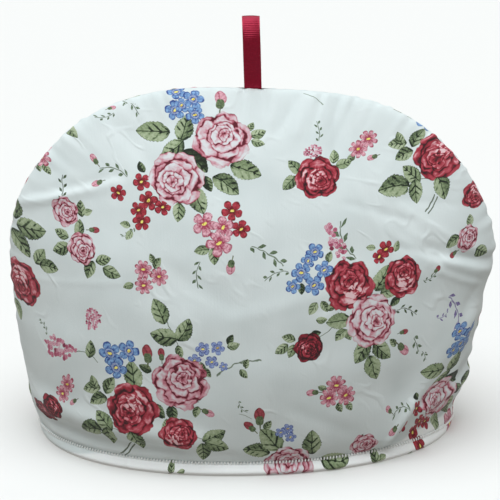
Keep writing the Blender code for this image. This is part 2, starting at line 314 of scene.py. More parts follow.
BACK_CREASES = [
    # from_x, from_z,  to_x,   to_z,  half_width, rise
    (-0.168, 0.112, -0.110, 0.128, 0.0034, 0.0010),
    (-0.150, 0.150, -0.090, 0.160, 0.0044, -0.0008),
    (-0.130, 0.052, -0.092, 0.020, 0.0036, 0.0014),
    (0.155, 0.158, 0.100, 0.172, 0.0030, 0.0010),
    (0.140, 0.120, 0.080, 0.128, 0.0050, -0.0008),
    (0.150, 0.036, 0.070, 0.022, 0.0038, -0.0013),
    (0.046, 0.254, 0.040, 0.228, 0.0042, -0.0008),
    (-0.036, 0.256, -0.030, 0.232, 0.0040, 0.0007),
    (-0.006, 0.256, -0.010, 0.238, 0.0034, -0.0006),
]
print("creases of the front and the back:", len(FRONT_CREASES), len(BACK_CREASES))

# %% [markdown]
# The outline. The side seams are not true curves: the folds that reach them push them out
# or pull them in by a few millimetres. The seam over the crown sways a little too.

# %% Dents of the outline
OUTLINE_DENTS = [
    # side, height, half_width, rise
    (1, 0.109, 0.011, -0.0026),
    (1, 0.072, 0.009, -0.0012),
    (1, 0.003, 0.008, -0.0036),
    (-1, 0.002, 0.014, -0.0028),
    (-1, 0.100, 0.020, -0.0008),
    (-1, 0.045, 0.032, -0.0020),
    (1, 0.036, 0.034, -0.0018),
    (-1, 0.205, 0.016, -0.0012),
    (-1, 0.222, 0.014, -0.0030),
    (1, 0.052, 0.006, -0.0014),
    (1, 0.024, 0.008, 0.0020),
]
DENT_FADE_POWER = 3
CROWN_SWAY, CROWN_SWAY_POWER = 0.0014, 6
CROWN_WAVE_MIDDLE, CROWN_WAVE_HALF, CROWN_DROP = -0.012, 0.11, 0.50


def crown_shape(x, z):
    """Lift of the crown: one wave of a sine across, up at the left and down at the right,
    less a drop, growing with the sixth power of the height."""
    wave = np.sin(np.clip((x - CROWN_WAVE_MIDDLE) / CROWN_WAVE_HALF, -1, 1) * np.pi) + CROWN_DROP
    return -CROWN_SWAY * wave * (z / HEIGHT) ** CROWN_SWAY_POWER


def dent_shape(x, z):
    """Sideways rise of the side seams: bells of the height, fading to the middle by the cube."""
    total = np.zeros_like(x)
    for side, height, spread, rise in OUTLINE_DENTS:
        near = np.clip(side * x / HALF_WIDTH, 0, 1) ** DENT_FADE_POWER
        total += side * rise * near * np.exp(-(((z - height) / spread) ** 2))
    return total


print("dents of the two sides:", len(OUTLINE_DENTS))

# %% [markdown]
# Small unevenness. Wadding is never level, and a curved seam gathers the cloth a little, so
# it puckers in short ripples that run away from the seam. Both are sums of sines of unlike
# lengths, which look uneven and yet give the same cosy every time.

# %% Puckers and wadding
PUCKER, PUCKER_REACH, PUCKER_START = 0.00075, 0.011, 0.0018
PUCKER_LENGTH, SHORT_PUCKER, SHORT_SHARE = 0.0165, 0.62, 0.7
SWELL_LENGTH, SWELL_LOW = 0.091, 0.6
LUMP = 0.00030
LUMPS = [
    # turn, length
    (0.3, 0.070),
    (1.1, 0.052),
    (1.9, 0.061),
    (2.6, 0.041),
    (0.8, 0.033),
    (2.2, 0.028),
]


def pucker_shape(x, y, z, phase):
    """Two ripples along the seam, by the turn about the panel's middle, that swell and
    shrink along it and fade with the depth from the seam plane."""
    along = np.arctan2(z - WIDEST_Z, x) * HALF_WIDTH
    ripple = np.sin(2 * np.pi * along / PUCKER_LENGTH + phase)
    short = 2 * np.pi * along / (PUCKER_LENGTH * SHORT_PUCKER)
    ripple += SHORT_SHARE * np.sin(short + 2.1 * phase)
    swell = SWELL_LOW + (1 - SWELL_LOW) * np.sin(2 * np.pi * along / SWELL_LENGTH + phase)
    near = np.clip(-y / PUCKER_START, 0, 1) * np.exp(y / PUCKER_REACH)
    return PUCKER * ripple * swell * near


def lump_shape(x, z, phase):
    """Gentle swell of the wadding: six sines in unlike directions, the longer the higher."""
    total = np.zeros_like(x)
    for turn, length in LUMPS:
        run = x * np.cos(turn + phase) + z * np.sin(turn + phase)
        total += np.sin(2 * np.pi * run / length + 5 * turn + phase) * (length / LUMPS[0][1])
    return LUMP * total


print("deepest pucker, mm:", round(PUCKER * (1 + SHORT_SHARE) * 1000, 2))

# %% [markdown]
# One skin of a panel. Every rise is laid along the normal of the smooth bulge, so that a
# fold stays at right angles to the cloth. The seams and the hem hold the folds flat next to
# them. The inner skin is the same shape set in by the wall, and keeps half of each fold.

# %% One skin
WALL = 0.0065
INNER_SHARE = 0.5
SEAM_GAP = 0.00015
SEAM_PUFF, SEAM_PUFF_AT = 0.0016, 0.006
SEAM_HOLD, HEM_HOLD = 0.020, 0.012
CREASE_HOLD = 0.006
PUCKER_AT_HEM = 0.25
RIBBON_THICKNESS, RIBBON_SIDE_GAP = 0.0010, 0.0003
RECESS_HALF, RECESS_FADE = 0.0072, 0.0060


def seam_gap(x):
    """Half the opening of the seam: hair-thin, and widened smoothly round the ribbon."""
    ribbon_half = 1.5 * RIBBON_THICKNESS + RIBBON_SIDE_GAP / 2
    fade = np.clip((np.abs(x) - RECESS_HALF) / RECESS_FADE, 0, 1)
    return SEAM_GAP + (ribbon_half - SEAM_GAP) * (1 - fade) ** 2 * (1 + 2 * fade)


def outward(points):
    """Unit normals of a grid: the cross product of its steps across and up."""
    normal = np.cross(np.gradient(points, axis=1), np.gradient(points, axis=0))
    return normal / np.linalg.norm(normal, axis=2, keepdims=True)


def skin(folds, creases, phase, inset):
    """Grid of points: plan and depth, then all rises along the normal, then the side dents."""
    x, z = plan(even, graded, up, inset)
    y = -depth(x, z, inset)
    points = np.stack([x, y, z], axis=2)
    near_seam = -y / SEAM_PUFF_AT
    above_hem = np.clip((z - HEM_HEIGHT) / HEM_HOLD, 0, 1)
    free = np.clip(-y / SEAM_HOLD, 0, 1) * above_hem
    rise = fold_shape(x, z, folds) * free
    if inset:
        rise = INNER_SHARE * (rise - HEM_TUCK * np.exp(-z / HEM_TUCK_REACH))
    else:
        off_seam = np.clip(-y / CREASE_HOLD, 0, 1)
        off_hem = np.clip((z - HEM_HEIGHT) / CREASE_HOLD, 0, 1)
        rise += fold_shape(x, z, creases) * off_seam * off_hem
        rise += hem_shape(graded, z) + SEAM_PUFF * near_seam * np.exp(1 - near_seam)
        rise += pucker_shape(x, y, z, phase) * (PUCKER_AT_HEM + (1 - PUCKER_AT_HEM) * above_hem)
        rise += lump_shape(x, z, phase) * free
    points += outward(points) * rise[..., None]
    points[..., 0] += dent_shape(x, z)
    points[..., 2] += crown_shape(x, z)

    rim = np.zeros(x.shape, bool)
    rim[:, [0, -1]] = True
    rim[-1] = True
    gap = seam_gap(points[..., 0]) * (z > WIDEST_Z) + SEAM_GAP * (z <= WIDEST_Z)
    points[..., 1] = np.where(rim, -gap, np.minimum(points[..., 1], -gap))
    points[0, :, 2] = 0
    points[..., 2] = np.maximum(points[..., 2], 0)
    return points


FRONT_PHASE, BACK_PHASE = 0.7, 2.9
front_outer = skin(FRONT_FOLDS, FRONT_CREASES, FRONT_PHASE, 0.0)
front_inner = skin(FRONT_FOLDS, FRONT_CREASES, FRONT_PHASE, WALL)
back_outer = skin(BACK_FOLDS, BACK_CREASES, BACK_PHASE, 0.0)
back_inner = skin(BACK_FOLDS, BACK_CREASES, BACK_PHASE, WALL)
print("front panel reaches, mm:", np.round(front_outer.reshape(-1, 3).min(axis=0) * 1000, 1))

# %% [markdown]
# The panel as one closed shell: outer skin, inner skin, and a band of faces that joins their
# rims. Writing the quads as index arrays keeps them in step with the grid, so anything
# worked out on the grid can be laid on the mesh later.

# %% Shells
def shell_quads(rows, columns):
    """Corner indices of the outer skin, the inner skin turned inside out, and the rim."""
    count = rows * columns
    index = np.arange(count).reshape(rows, columns)
    quads = [index[:-1, :-1], index[:-1, 1:], index[1:, 1:], index[1:, :-1]]
    outer = np.stack(quads, axis=-1).reshape(-1, 4)
    edge = np.concatenate([index[0], index[1:, -1], index[-1, -2::-1], index[-2:0:-1, 0]])
    following = np.roll(edge, -1)
    rim = np.stack([following, edge, edge + count, following + count], axis=-1)
    return outer, outer[:, ::-1] + count, rim


def mesh_object(name, vertices, quads):
    """A smooth-shaded mesh object at the origin, from arrays of points and quads."""
    mesh = bpy.data.meshes.new(name)
    mesh.vertices.add(len(vertices))
    mesh.vertices.foreach_set("co", np.ascontiguousarray(vertices, dtype=np.float32).ravel())
    mesh.loops.add(quads.size)
    mesh.loops.foreach_set("vertex_index", np.ascontiguousarray(quads, dtype=np.int32).ravel())
    mesh.polygons.add(len(quads))
    mesh.polygons.foreach_set("loop_start", np.arange(0, quads.size, 4, dtype=np.int32))
    mesh.update(calc_edges=True)
    mesh.shade_smooth()
    made = bpy.data.objects.new(name, mesh)
    scene.collection.objects.link(made)
    return made


OUTER_QUADS, INNER_QUADS, RIM_QUADS = shell_quads(*front_outer.shape[:2])
PANEL_QUADS = np.concatenate([OUTER_QUADS, INNER_QUADS, RIM_QUADS])
SHARP_EDGE = np.radians(60)


def panel(name, outer, inner, behind):
    """A closed shell of two skins; the back one is the mirror image in the seam plane."""
    vertices = np.concatenate([outer.reshape(-1, 3), inner.reshape(-1, 3)])
    quads = PANEL_QUADS
    if behind:
        vertices = vertices * np.array([1, -1, 1])
        quads = quads[:, ::-1]
    made = mesh_object(name, vertices, quads)
    made.data.set_sharp_from_angle(angle=SHARP_EDGE)
    return made


front = panel("front_cloth", front_outer, front_inner, False)
back = panel("back_cloth", back_outer, back_inner, True)
print("quads in each panel:", len(PANEL_QUADS))

# %% [markdown]
# The print was on the cloth before it was sewn, so it needs the cloth's own flat
# coordinates. Across, a point lies as far from the middle as the length of the level line
# that leads to it; up, as far from the hem as its height, made longer wherever the panel
# falls back. Both are sums of short chords, kept in two tables and looked up by place.

# %% Lengths over the bulge
TABLE_TURN = np.linspace(-np.pi / 2, np.pi / 2, 721)
TABLE_Z = np.linspace(0, HEIGHT, 527)
TABLE_X = np.linspace(-HALF_WIDTH, HALF_WIDTH, 715)


def chord_tables():
    """Lengths across from the middle, by turn and height, and up from the hem, by x and z."""
    turn, z = np.meshgrid(TABLE_TURN, TABLE_Z)
    x = half_width(np.sin(turn), z) * np.sin(turn)
    chords = np.hypot(np.diff(x, axis=1), np.diff(depth(x, z), axis=1))
    across = np.concatenate([np.zeros((len(TABLE_Z), 1)), np.cumsum(chords, axis=1)], axis=1)
    across -= across[:, [len(TABLE_TURN) // 2]]
    x, z = np.meshgrid(TABLE_X, TABLE_Z)
    out = np.where(np.abs(x) < half_width(x, z), depth(x, z), 0)
    falls = np.clip(-np.diff(out, axis=0), 0, None)
    chords = np.hypot(falls, TABLE_Z[1])
    upward = np.concatenate([np.zeros((1, len(TABLE_X))), np.cumsum(chords, axis=0)])
    return across, upward


def look_up(table, column, row):
    """Value between the four nearest entries of a table."""
    column = np.clip(column, 0, table.shape[1] - 1.001)
    row = np.clip(row, 0, table.shape[0] - 1.001)
    i, j = column.astype(int), row.astype(int)
    u, v = column - i, row - j
    lower = table[j, i] * (1 - u) + table[j, i + 1] * u
    upper = table[j + 1, i] * (1 - u) + table[j + 1, i + 1] * u
    return lower * (1 - v) + upper * v


ACROSS_TABLE, UPWARD_TABLE = chord_tables()
print("level line from seam to seam at the hem, mm:", round(float(np.ptp(ACROSS_TABLE[0])) * 1000))

# %% [markdown]
# A sewn cloth does not lie quite where those lengths say. The pull of the seam stretches it
# at the sides, and the folds low on the right and the left take up some millimetres of it.
# One table against the height says by how many metres each of them moves the print.

# %% Places on the flat cloth
EASE = np.array([
    # height, right side,     left side,      seam,   fold at the right,
    #         across, up,     across, up,     across, across, up
    (0.000,   0.004, -0.003, -0.004,  0.006,  0.004,  0.000,  0.000),
    (0.014,   0.008, -0.005, -0.008,  0.010,  0.008,  0.002, -0.003),
    (0.026,   0.010, -0.002, -0.011,  0.012,  0.012,  0.006, -0.009),
    (0.038,   0.008,  0.001, -0.010,  0.013,  0.016,  0.011, -0.013),
    (0.050,   0.006,  0.004, -0.004,  0.013,  0.018,  0.014, -0.015),
    (0.062,   0.003,  0.006,  0.000,  0.013,  0.018,  0.008, -0.007),
    (0.084,   0.001,  0.008,  0.000,  0.006,  0.018,  0.004, -0.002),
    (0.104,   0.000,  0.007,  0.000,  0.002,  0.016,  0.000,  0.000),
    (0.130,   0.000,  0.003,  0.000,  0.000,  0.014,  0.000,  0.000),
    (0.158,   0.000,  0.000,  0.000,  0.000,  0.014,  0.000,  0.000),
    (0.220,   0.000,  0.000,  0.000,  0.000,  0.010,  0.000,  0.000),
    (0.260,   0.000,  0.000,  0.000,  0.000,  0.000,  0.000,  0.000),
])
# Where each column starts across the panel, and over what width it comes in.
RIGHT_START, RIGHT_WIDTH = 0.095, 0.045
LEFT_START, LEFT_WIDTH = 0.110, 0.040
FOLD_START, FOLD_WIDTH = 0.088, 0.027
SEAM_SHARE = 0.80


def soft_step(value):
    """0 below 0 and 1 above 1, by 3 times the square less twice the cube between."""
    share = np.clip(value, 0, 1)
    return share**2 * (3 - 2 * share)


def cloth_place(x, z):
    """Place on the flat cloth, in millimetres across from the middle and up from the hem:
    the lengths over the bulge plus each ease times the share of it that is felt there."""
    share = np.clip(x / np.maximum(half_width(x, z), 1e-6), -1, 1)
    column = (np.arcsin(share) / np.pi + 0.5) * (len(TABLE_TURN) - 1)
    row = z / HEIGHT * (len(TABLE_Z) - 1)
    across = look_up(ACROSS_TABLE, column, row)
    upward = look_up(UPWARD_TABLE, (x / HALF_WIDTH + 1) / 2 * (len(TABLE_X) - 1), row)
    ease = [np.interp(z, EASE[:, 0], by_height) for by_height in EASE.T[1:]]
    right = soft_step((x - RIGHT_START) / RIGHT_WIDTH)
    left = soft_step((-x - LEFT_START) / LEFT_WIDTH)
    folded = soft_step((x - FOLD_START) / FOLD_WIDTH)
    seam = np.sign(x) * np.clip((np.abs(share) - SEAM_SHARE) / (1 - SEAM_SHARE), 0, 1) ** 2
    across += right * ease[0] + left * ease[2] - seam * ease[4] + folded * ease[5]
    upward += right * ease[1] + left * ease[3] + folded * ease[6]
    return np.stack([across, upward], axis=-1) * 1000


grid_place = cloth_place(*plan(even, graded, up, 0.0))
print("cloth across the hem and up the middle, mm:",
      round(float(np.ptp(grid_place[0, :, 0]))), round(float(grid_place[-1, COLUMNS // 2, 1])))

# %% [markdown]
# The print is a rose chintz: bouquets of pink and red roses with forget-me-nots, daisies,
# buds and sprigs, in one repeat that steps half a drop from one column to the next. One
# repeat is charted here as a designer would plot it, in millimetres on the flat cloth. Each
# row puts one motif down: what it is, how far its middle lies across and up, its half
# length, the way it points in degrees from the level, and its colouring.

# %% The chart of one repeat
STEPS = ((224, 174), (214, -184))
CHART = [
    # kind, across, up, half length, turn, colouring
    # The pink pair, with the leaves behind them.
    ("rose", -23, 246, 21.5, 80, "pink"),
    ("rose", -55, 216, 20.5, 215, "pink"),
    ("leaf", -42, 229, 11.5, -43, "dark"),
    ("leaf", -33, 213, 6, -70, "dark"),
    ("leaf", -72, 250, 12.5, 180, "sage"),
    ("leaf", -58, 238, 10, 217, "sage"),
    ("leaf", -50, 254, 10.5, 75, "sage"),
    ("leaf", -7, 223, 11.5, -20, "sage"),
    ("leaf", -21, 212, 11, -36, "sage"),
    ("leaf", -40, 201, 10.5, -70, "sage"),
    ("leaf", -54, 192, 7, -95, "pale"),
    ("leaf", 2, 251, 6, 20, "pale"),
    ("leaf", -3, 256, 4, 60, "sage"),
    ("leaf", 2, 244, 5, -16, "pale"),
    ("bud", -24, 275, 10, 88, "pink"),
    ("sprig", -88, 268, 9, -46, "green"),
    # Forget-me-nots above them.
    ("blossom", -55, 282, 7.5, 10, "blue"),
    ("blossom", -43, 276, 8.5, 40, "blue"),
    ("blossom", -56, 267, 8, 65, "blue"),
    ("blossom", -42, 264, 7.5, 20, "blue"),
    ("blossom", -51, 271, 6.5, 55, "blue"),
    # Red and pink small flowers below them.
    ("leaf", -80, 223, 4.5, 115, "dark"),
    ("blossom", -80, 212, 7, 10, "red"),
    ("blossom", -75, 199, 7.5, 50, "red"),
    ("blossom", -82, 192, 6.5, 20, "red"),
    ("blossom", -65, 195, 6.5, 35, "red"),
    ("blossom", -80, 184, 7, 60, "red"),
    ("blossom", -97, 203, 6.5, -30, "red"),
    ("sprig", -90, 176, 6, 215, "green"),
    ("leaf", -92, 181, 4, 170, "pale"),
    ("leaf", -89, 174, 4, 235, "pale"),
    ("sprig", -101, 217, 11, 168, "green"),
    ("bud", -115, 225, 6, 130, "pink"),
    ("bud", -112, 209, 6, 205, "pink"),
    ("blossom", -17, 194, 8, 15, "red"),
    ("blossom", -11, 181, 7, 40, "red"),
    ("blossom", -36, 184, 9.5, 30, "pink"),
    ("blossom", -23, 182, 8.5, 60, "pink"),
    ("blossom", -26, 171, 10, 5, "pink"),
    ("bud", -18, 156, 7, -100, "pink"),
    ("leaf", -38, 166, 5.5, 190, "sage"),
    ("leaf", -30, 162, 6, -86, "sage"),
    ("sprig", -40, 149, 9.5, -95, "green"),
    # The two small pink roses at the left, and what grows round them.
    ("sprig", -139, 202, 9.5, 95, "dark"),
    ("rose", -138, 185, 11, 10, "blush"),
    ("rose", -125, 161, 12, -50, "blush"),
    ("leaf", -141, 169, 6, 160, "sage"),
    ("leaf", -142, 159, 7.5, 206, "sage"),
    ("leaf", -127, 175, 6.5, 84, "sage"),
    ("leaf", -120, 187, 4, 25, "pale"),
    ("bud", -116, 175, 5.5, 5, "red"),
    ("leaf", -108, 155, 6, 18, "sage"),
    ("leaf", -118, 147, 7, -112, "sage"),
    ("leaf", -102, 147, 7, -20, "sage"),
    # Daisies in the middle left.
    ("blossom", -79, 151, 7, 0, "daisy"),
    ("blossom", -68, 147, 7, 20, "daisy"),
    ("blossom", -79, 140, 7, 10, "daisy"),
    ("leaf", -69, 156, 4.5, 62, "sage"),
    ("leaf", -73, 159, 3.5, 110, "sage"),
    ("leaf", -90, 139, 4, 200, "sage"),
    # The pink rose with its red neighbours.
    ("rose", -54, 73, 21, 65, "blush"),
    ("rose", -89, 51, 20.5, 230, "red"),
    ("rose", -56, 34, 14, 20, "red"),
    ("leaf", -69, 51, 6.5, -60, "dark"),
    ("leaf", -60, 50, 6.5, -82, "dark"),
    ("leaf", -65, 41, 5, 80, "sage"),
    ("leaf", -68, 123, 9.5, 115, "sage"),
    ("leaf", -65, 106, 10, 173, "sage"),
    ("leaf", -51, 111, 9, 62, "sage"),
    ("sprig", -60, 112, 9, 115, "bare"),
    ("sprig", -57, 97, 8, 95, "bare"),
    ("leaf", -54, 96, 4.5, -70, "sage"),
    ("leaf", -88, 76, 11, 98, "sage"),
    ("leaf", -106, 66, 7.5, 62, "sage"),
    ("leaf", -121, 63, 7.5, 180, "pale"),
    ("leaf", -119, 67, 5.5, 110, "sage"),
    ("leaf", -116, 54, 8, 200, "sage"),
    ("leaf", -111, 39, 9.5, 136, "sage"),
    ("leaf", -125, 30, 13, 184, "sage"),
    ("leaf", -108, 26, 9, -88, "sage"),
    ("leaf", -87, 26, 10, -72, "sage"),
    ("sprig", -101, 33, 8, 170, "bare"),
    ("sprig", -96, 15, 7.5, 232, "pair"),
    ("bud", -77, 91, 9, 94, "red"),
    ("bud", -67, 92, 6, 92, "red"),
    ("leaf", -79, 82, 5, 157, "dark"),
    ("bud", -36, 52, 6.5, -26, "pink"),
    ("leaf", -43, 52, 4.5, 255, "sage"),
    ("blossom", -105, 90, 9, 5, "blue"),
    ("blossom", -91, 93, 8.5, 40, "blue"),
    ("blossom", -101, 80, 9, 25, "blue"),
    ("blossom", -38, 98, 5.5, 0, "violet"),
    ("blossom", -28, 99, 5.5, 25, "violet"),
    ("blossom", -44, 90, 5, 50, "violet"),
    ("blossom", -32, 89, 5, 15, "violet"),
    ("blossom", -24, 86, 3.5, 0, "violet"),
    ("leaf", -36, 81, 4.5, -40, "sage"),
    ("leaf", -39, 85, 4, 100, "sage"),
    ("sprig", -13, 84, 17, 20, "bare"),
    ("leaf", -8, 88, 3.5, 75, "sage"),
    ("leaf", -10, 81, 4, -50, "sage"),
    ("leaf", -19, 105, 4, 62, "dark"),
    ("leaf", -17, 101, 4.5, 14, "pale"),
    ("sprig", -43, 31, 7, -14, "bare"),
    ("leaf", -31, 34, 9, 26, "sage"),
    ("leaf", -29, 26, 9, -21, "sage"),
    ("leaf", -39, 20, 8.5, -91, "sage"),
    # The rose at the hem and its buds.
    ("leaf", -1, 20, 10, 168, "sage"),
    ("leaf", 9, 29, 12, 128, "sage"),
    ("leaf", 89, 5, 6, 95, "sage"),
    ("bud", 1, 47, 9.5, 93, "red"),
    ("bud", -5, 40, 7, 133, "red"),
    ("leaf", 7, 41, 4.5, 62, "sage"),
    ("sprig", -9, 49, 5, -25, "bare"),
    ("sprig", -10, 56, 6, -50, "green"),
    ("blossom", 55, 69, 8, 0, "daisy"),
    ("blossom", 50, 60, 7.5, 15, "daisy"),
    ("blossom", 62, 61, 8, 30, "daisy"),
    ("bud", 39, 65, 6, 178, "pink"),
    ("leaf", 45, 68, 3.5, 160, "sage"),
    ("leaf", 58, 52, 4, -70, "sage"),
    ("leaf", 65, 52, 4, -60, "sage"),
    # The big red rose, its neighbours, and the pink one under them.
    ("rose", 64, 139, 19, 95, "red"),
    ("rose", 104, 141, 15, 85, "red"),
    ("rose", 80, 113, 19.5, -5, "pink"),
    ("rose", 35, 98, 11, -40, "dark"),
    ("leaf", 88, 142, 10, 60, "sage"),
    ("leaf", 94, 132, 7.5, 2, "sage"),
    ("leaf", 98, 124, 4.5, 215, "dark"),
    ("leaf", 56, 115, 9, 184, "sage"),
    ("leaf", 58, 105, 5.5, 222, "pale"),
    ("leaf", 63, 105, 4.5, -62, "sage"),
    ("leaf", 73, 92, 9.5, -120, "sage"),
    ("leaf", 89, 91, 9.5, -45, "sage"),
    ("leaf", 82, 79, 10, -70, "sage"),
    ("leaf", 16, 98, 5.5, 214, "pale"),
    ("leaf", 21, 105, 5, 163, "pale"),
    ("leaf", 23, 96, 5, 246, "sage"),
    ("leaf", 40, 107, 4, 18, "dark"),
    ("sprig", 47, 109, 9, 215, "bare"),
    ("leaf", 46, 126, 4.5, -60, "sage"),
    ("leaf", 51, 126, 4, 50, "sage"),
    ("leaf", 38, 125, 5, 238, "pale"),
    ("leaf", 44, 117, 4, 0, "pale"),
    ("blossom", 91, 162, 6.5, 20, "red"),
    ("blossom", 86, 157, 5.5, 50, "red"),
    ("leaf", 99, 163, 4, 70, "pale"),
    ("leaf", 80, 164, 3.5, 170, "pale"),
    ("sprig", 126, 140, 6.5, 25, "green"),
    ("bud", 131, 143, 4, 40, "red"),
    ("sprig", 108, 116, 9, -14, "dark"),
    ("sprig", 124, 89, 12, -48, "green"),
    ("bud", 106, 90, 9, -38, "rosy"),
    ("bud", 105, 102, 5, 12, "red"),
    ("leaf", 97, 95, 4, 130, "sage"),
    ("sprig", 151, 113, 13, -62, "violet"),
    ("sprig", 142, 115, 7.5, 22, "violet"),
    # Forget-me-nots beside the big red rose.
    ("blossom", 30, 150, 7.5, 0, "blue"),
    ("blossom", 39, 141, 7.5, 25, "blue"),
    ("blossom", 46, 151, 7, 45, "blue"),
    ("blossom", 40, 164, 7, 10, "blue"),
    ("blossom", 35, 158, 5.5, 60, "blue"),
    ("blossom", 24, 141, 5.5, 30, "blue"),
    ("leaf", 30, 139, 4, -90, "dark"),
    ("leaf", 50, 160, 4, 75, "sage"),
    ("sprig", 7, 162, 13.5, -32, "green"),
    ("sprig", 13, 148, 9, 200, "green"),
    ("spray", 54, 171, 16, -66, "spike"),
    ("sprig", 64, 171, 15, 113, "green"),
    # The red rose at the top right.
    ("rose", 43, 217, 16.5, -50, "red"),
    ("leaf", 27, 225, 6.5, 130, "sage"),
    ("leaf", 23, 214, 7, 229, "sage"),
    ("leaf", 55, 232, 5.5, 84, "pale"),
    ("leaf", 62, 226, 6, 14, "sage"),
    ("blossom", 81, 243, 7.5, 0, "daisy"),
    ("blossom", 73, 236, 7.5, 20, "daisy"),
    ("bud", 84, 229, 5.5, 195, "rosy"),
    ("leaf", 67, 230, 4, 220, "sage"),
    ("rose", 159, 159, 9.5, 10, "blush"),
    ("leaf", 161, 171, 4.5, 95, "pale"),
    ("leaf", 146, 159, 6.5, 205, "sage"),
    ("leaf", 172, 147, 6, -30, "sage"),
    ("bud", 148, 151, 5, 200, "red"),
]
print("motifs in one repeat:", len(CHART))

# %% [markdown]
# Motifs that stand alone. A panel cut from real cloth also shows pieces of the next
# bouquets, which the seams and the hem cut off. Those of the first list are on both panels.
# The second list is for the front alone, where the folds bring a few more motifs into view
# and swallow others: the places of those copies of the repeat are listed last.

# %% Motifs set once
ONCE = [
    ("leaf", -165, 167, 11.5, 5, "sage"),
    ("leaf", -175, 154, 10.5, -50, "sage"),
    ("leaf", -177, 180, 10, 95, "sage"),
    ("leaf", -160, 149, 7.5, 55, "sage"),
    ("leaf", -153, 143, 8, 0, "sage"),
    ("rose", -178, 126, 16.5, -110, "red"),
    ("rose", -198, 158, 12, 20, "red"),
    ("leaf", -186, 104, 7, -60, "pale"),
    ("spray", -146, 91, 15.5, 176, "lilac"),
    ("spray", -118, 112, 9, 75, "round"),
    ("leaf", -121, 91, 6.5, 82, "sage"),
    ("sprig", -124, 85, 10, -22, "bare"),
    ("sprig", -162, 101, 5, 140, "green"),
    ("rose", 22, 5, 19, 75, "pink"),
    ("leaf", 39, 25, 11, 92, "sage"),
    ("leaf", 57, 7, 11, -4, "pale"),
    ("blossom", 21, 38, 4.5, 0, "violet"),
    ("blossom", 16, 35, 4.5, 25, "violet"),
    ("blossom", 23, 31, 4.5, 45, "violet"),
    ("spray", 40, 236, 7.5, 5, "round"),
    ("sprig", 44, 252, 8, 95, "green"),
    ("sprig", 42, 278, 9, -38, "bare"),
]
FRONT_ONLY = [
    # Daisies and leaves that the seam cuts at the top left.
    ("blossom", -153, 222, 8, 10, "daisy"),
    ("leaf", -155, 214, 4, -80, "sage"),
    ("leaf", -150, 213, 4, -60, "sage"),
    ("leaf", -129, 246, 6.5, -65, "pale"),
    ("bud", -101, 266, 4, 20, "pink"),
    ("sprig", -106, 260, 7, 200, "green"),
    # The rose that shows at the right seam, and the small one near the hem.
    ("rose", 165, 190, 12, 250, "red"),
    ("rose", 78, 17, 11, 11, "blush"),
    # Two roses at the lower left given the dark colouring as painted shade of the fold over
    # them, and two small leaves on the hem.
    ("rose", -179, 40, 11, 240, "dark"),
    ("rose", -165, 50, 10.5, 200, "dark"),
    ("leaf", -62, 5, 4, 90, "sage"),
    ("leaf", -55, 3, 3, 200, "pale"),
]
HIDDEN = [
    (191, 62), (76, 1), (168, 208), (-181, 43), (-169, 58),
    (-162, 52), (-157, 56), (-170, -3), (-160, -3),
]
print("motifs set once on both panels and on the front:", len(ONCE), len(FRONT_ONLY))

# %% [markdown]
# Laying the repeat on a panel. Painting the print into the mesh would blur it, because a
# face is wider than a stem. Instead each face carries the place of its corners inside the
# motif that covers it, and the material draws the motif from that place with sharp edges.
# Motifs of one kind that overlap go into two layers, the later one on top.

# %% Laying the repeat
LAYERS = ["sprig", "leaf_under", "leaf_over", "spray", "bud", "blossom_under",
          "blossom_over", "rose_under", "rose_over"]
PAIRED = ("leaf", "blossom", "rose")
# The colouring of a motif is the fraction of its code, and its number the whole part.
FINISH = {
    "sprig": {"green": 0.1, "bare": 0.3, "dark": 0.5, "pair": 0.7, "violet": 0.9},
    "leaf": {"sage": 0.1, "dark": 0.5, "pale": 0.9},
    "spray": {"spike": 0.2, "lilac": 0.4, "round": 0.8},
    "bud": {"pink": 0.1, "rosy": 0.5, "red": 0.7},
    "blossom": {"blue": 0.1, "violet": 0.3, "red": 0.5, "pink": 0.66, "daisy": 0.9},
    "rose": {"pink": 0.1, "blush": 0.3, "red": 0.6, "dark": 0.9},
}
GIRTH = {"sprig": 0.72, "leaf": 0.82, "spray": 0.95, "bud": 0.7, "blossom": 1.0, "rose": 1.0}
NUMBERS = 13
REACH_ACROSS, LOWEST, HIGHEST = 228, -25, 320
COPIES = range(-3, 4)
HIDDEN_WITHIN, TOUCHING = 2, 0.86
BACK_SHIFT = (96, 58)


def lay_out(shift, alone):
    """Every motif that can fall on a panel, from the repeat at each of its steps and from
    the list set once: kind, middle, half length, turn in radians, code."""
    laid = []
    for number, (kind, across, upward, size, turn, finish) in enumerate(CHART + alone):
        code = number % NUMBERS + FINISH[kind][finish]
        copies = COPIES if number < len(CHART) else (0,)
        for i in copies:
            for j in copies:
                a = across + shift[0] + i * STEPS[0][0] + j * STEPS[1][0]
                b = upward + shift[1] + i * STEPS[0][1] + j * STEPS[1][1]
                if abs(a) < REACH_ACROSS and LOWEST < b < HIGHEST:
                    laid.append((kind, a, b, size, np.radians(turn), code))
    return laid


def without_hidden(laid):
    """The motifs laid, less those whose middle is within 2 mm of a hidden place."""
    def is_hidden(motif):
        away = min(abs(motif[1] - a) + abs(motif[2] - b) for a, b in HIDDEN)
        return away < HIDDEN_WITHIN
    return [motif for motif in laid if not is_hidden(motif)]


def into_layers(laid):
    """Layer by layer, the motifs it holds: a motif that touches an earlier one of its kind
    in the lower layer goes into the upper."""
    held = {name: [] for name in LAYERS}
    for kind, *motif in laid:
        name = kind
        if kind in PAIRED:
            a, b, size = motif[:3]
            touches = any(np.hypot(a - other[0], b - other[1]) < TOUCHING * (size + other[2])
                          for other in held[kind + "_under"])
            name = kind + ("_over" if touches else "_under")
        held[name].append(motif)
    return held


front_laid = without_hidden(lay_out((0, 0), ONCE + FRONT_ONLY))
back_laid = lay_out(BACK_SHIFT, ONCE)
print("motifs laid on the front and the back:", len(front_laid), len(back_laid))

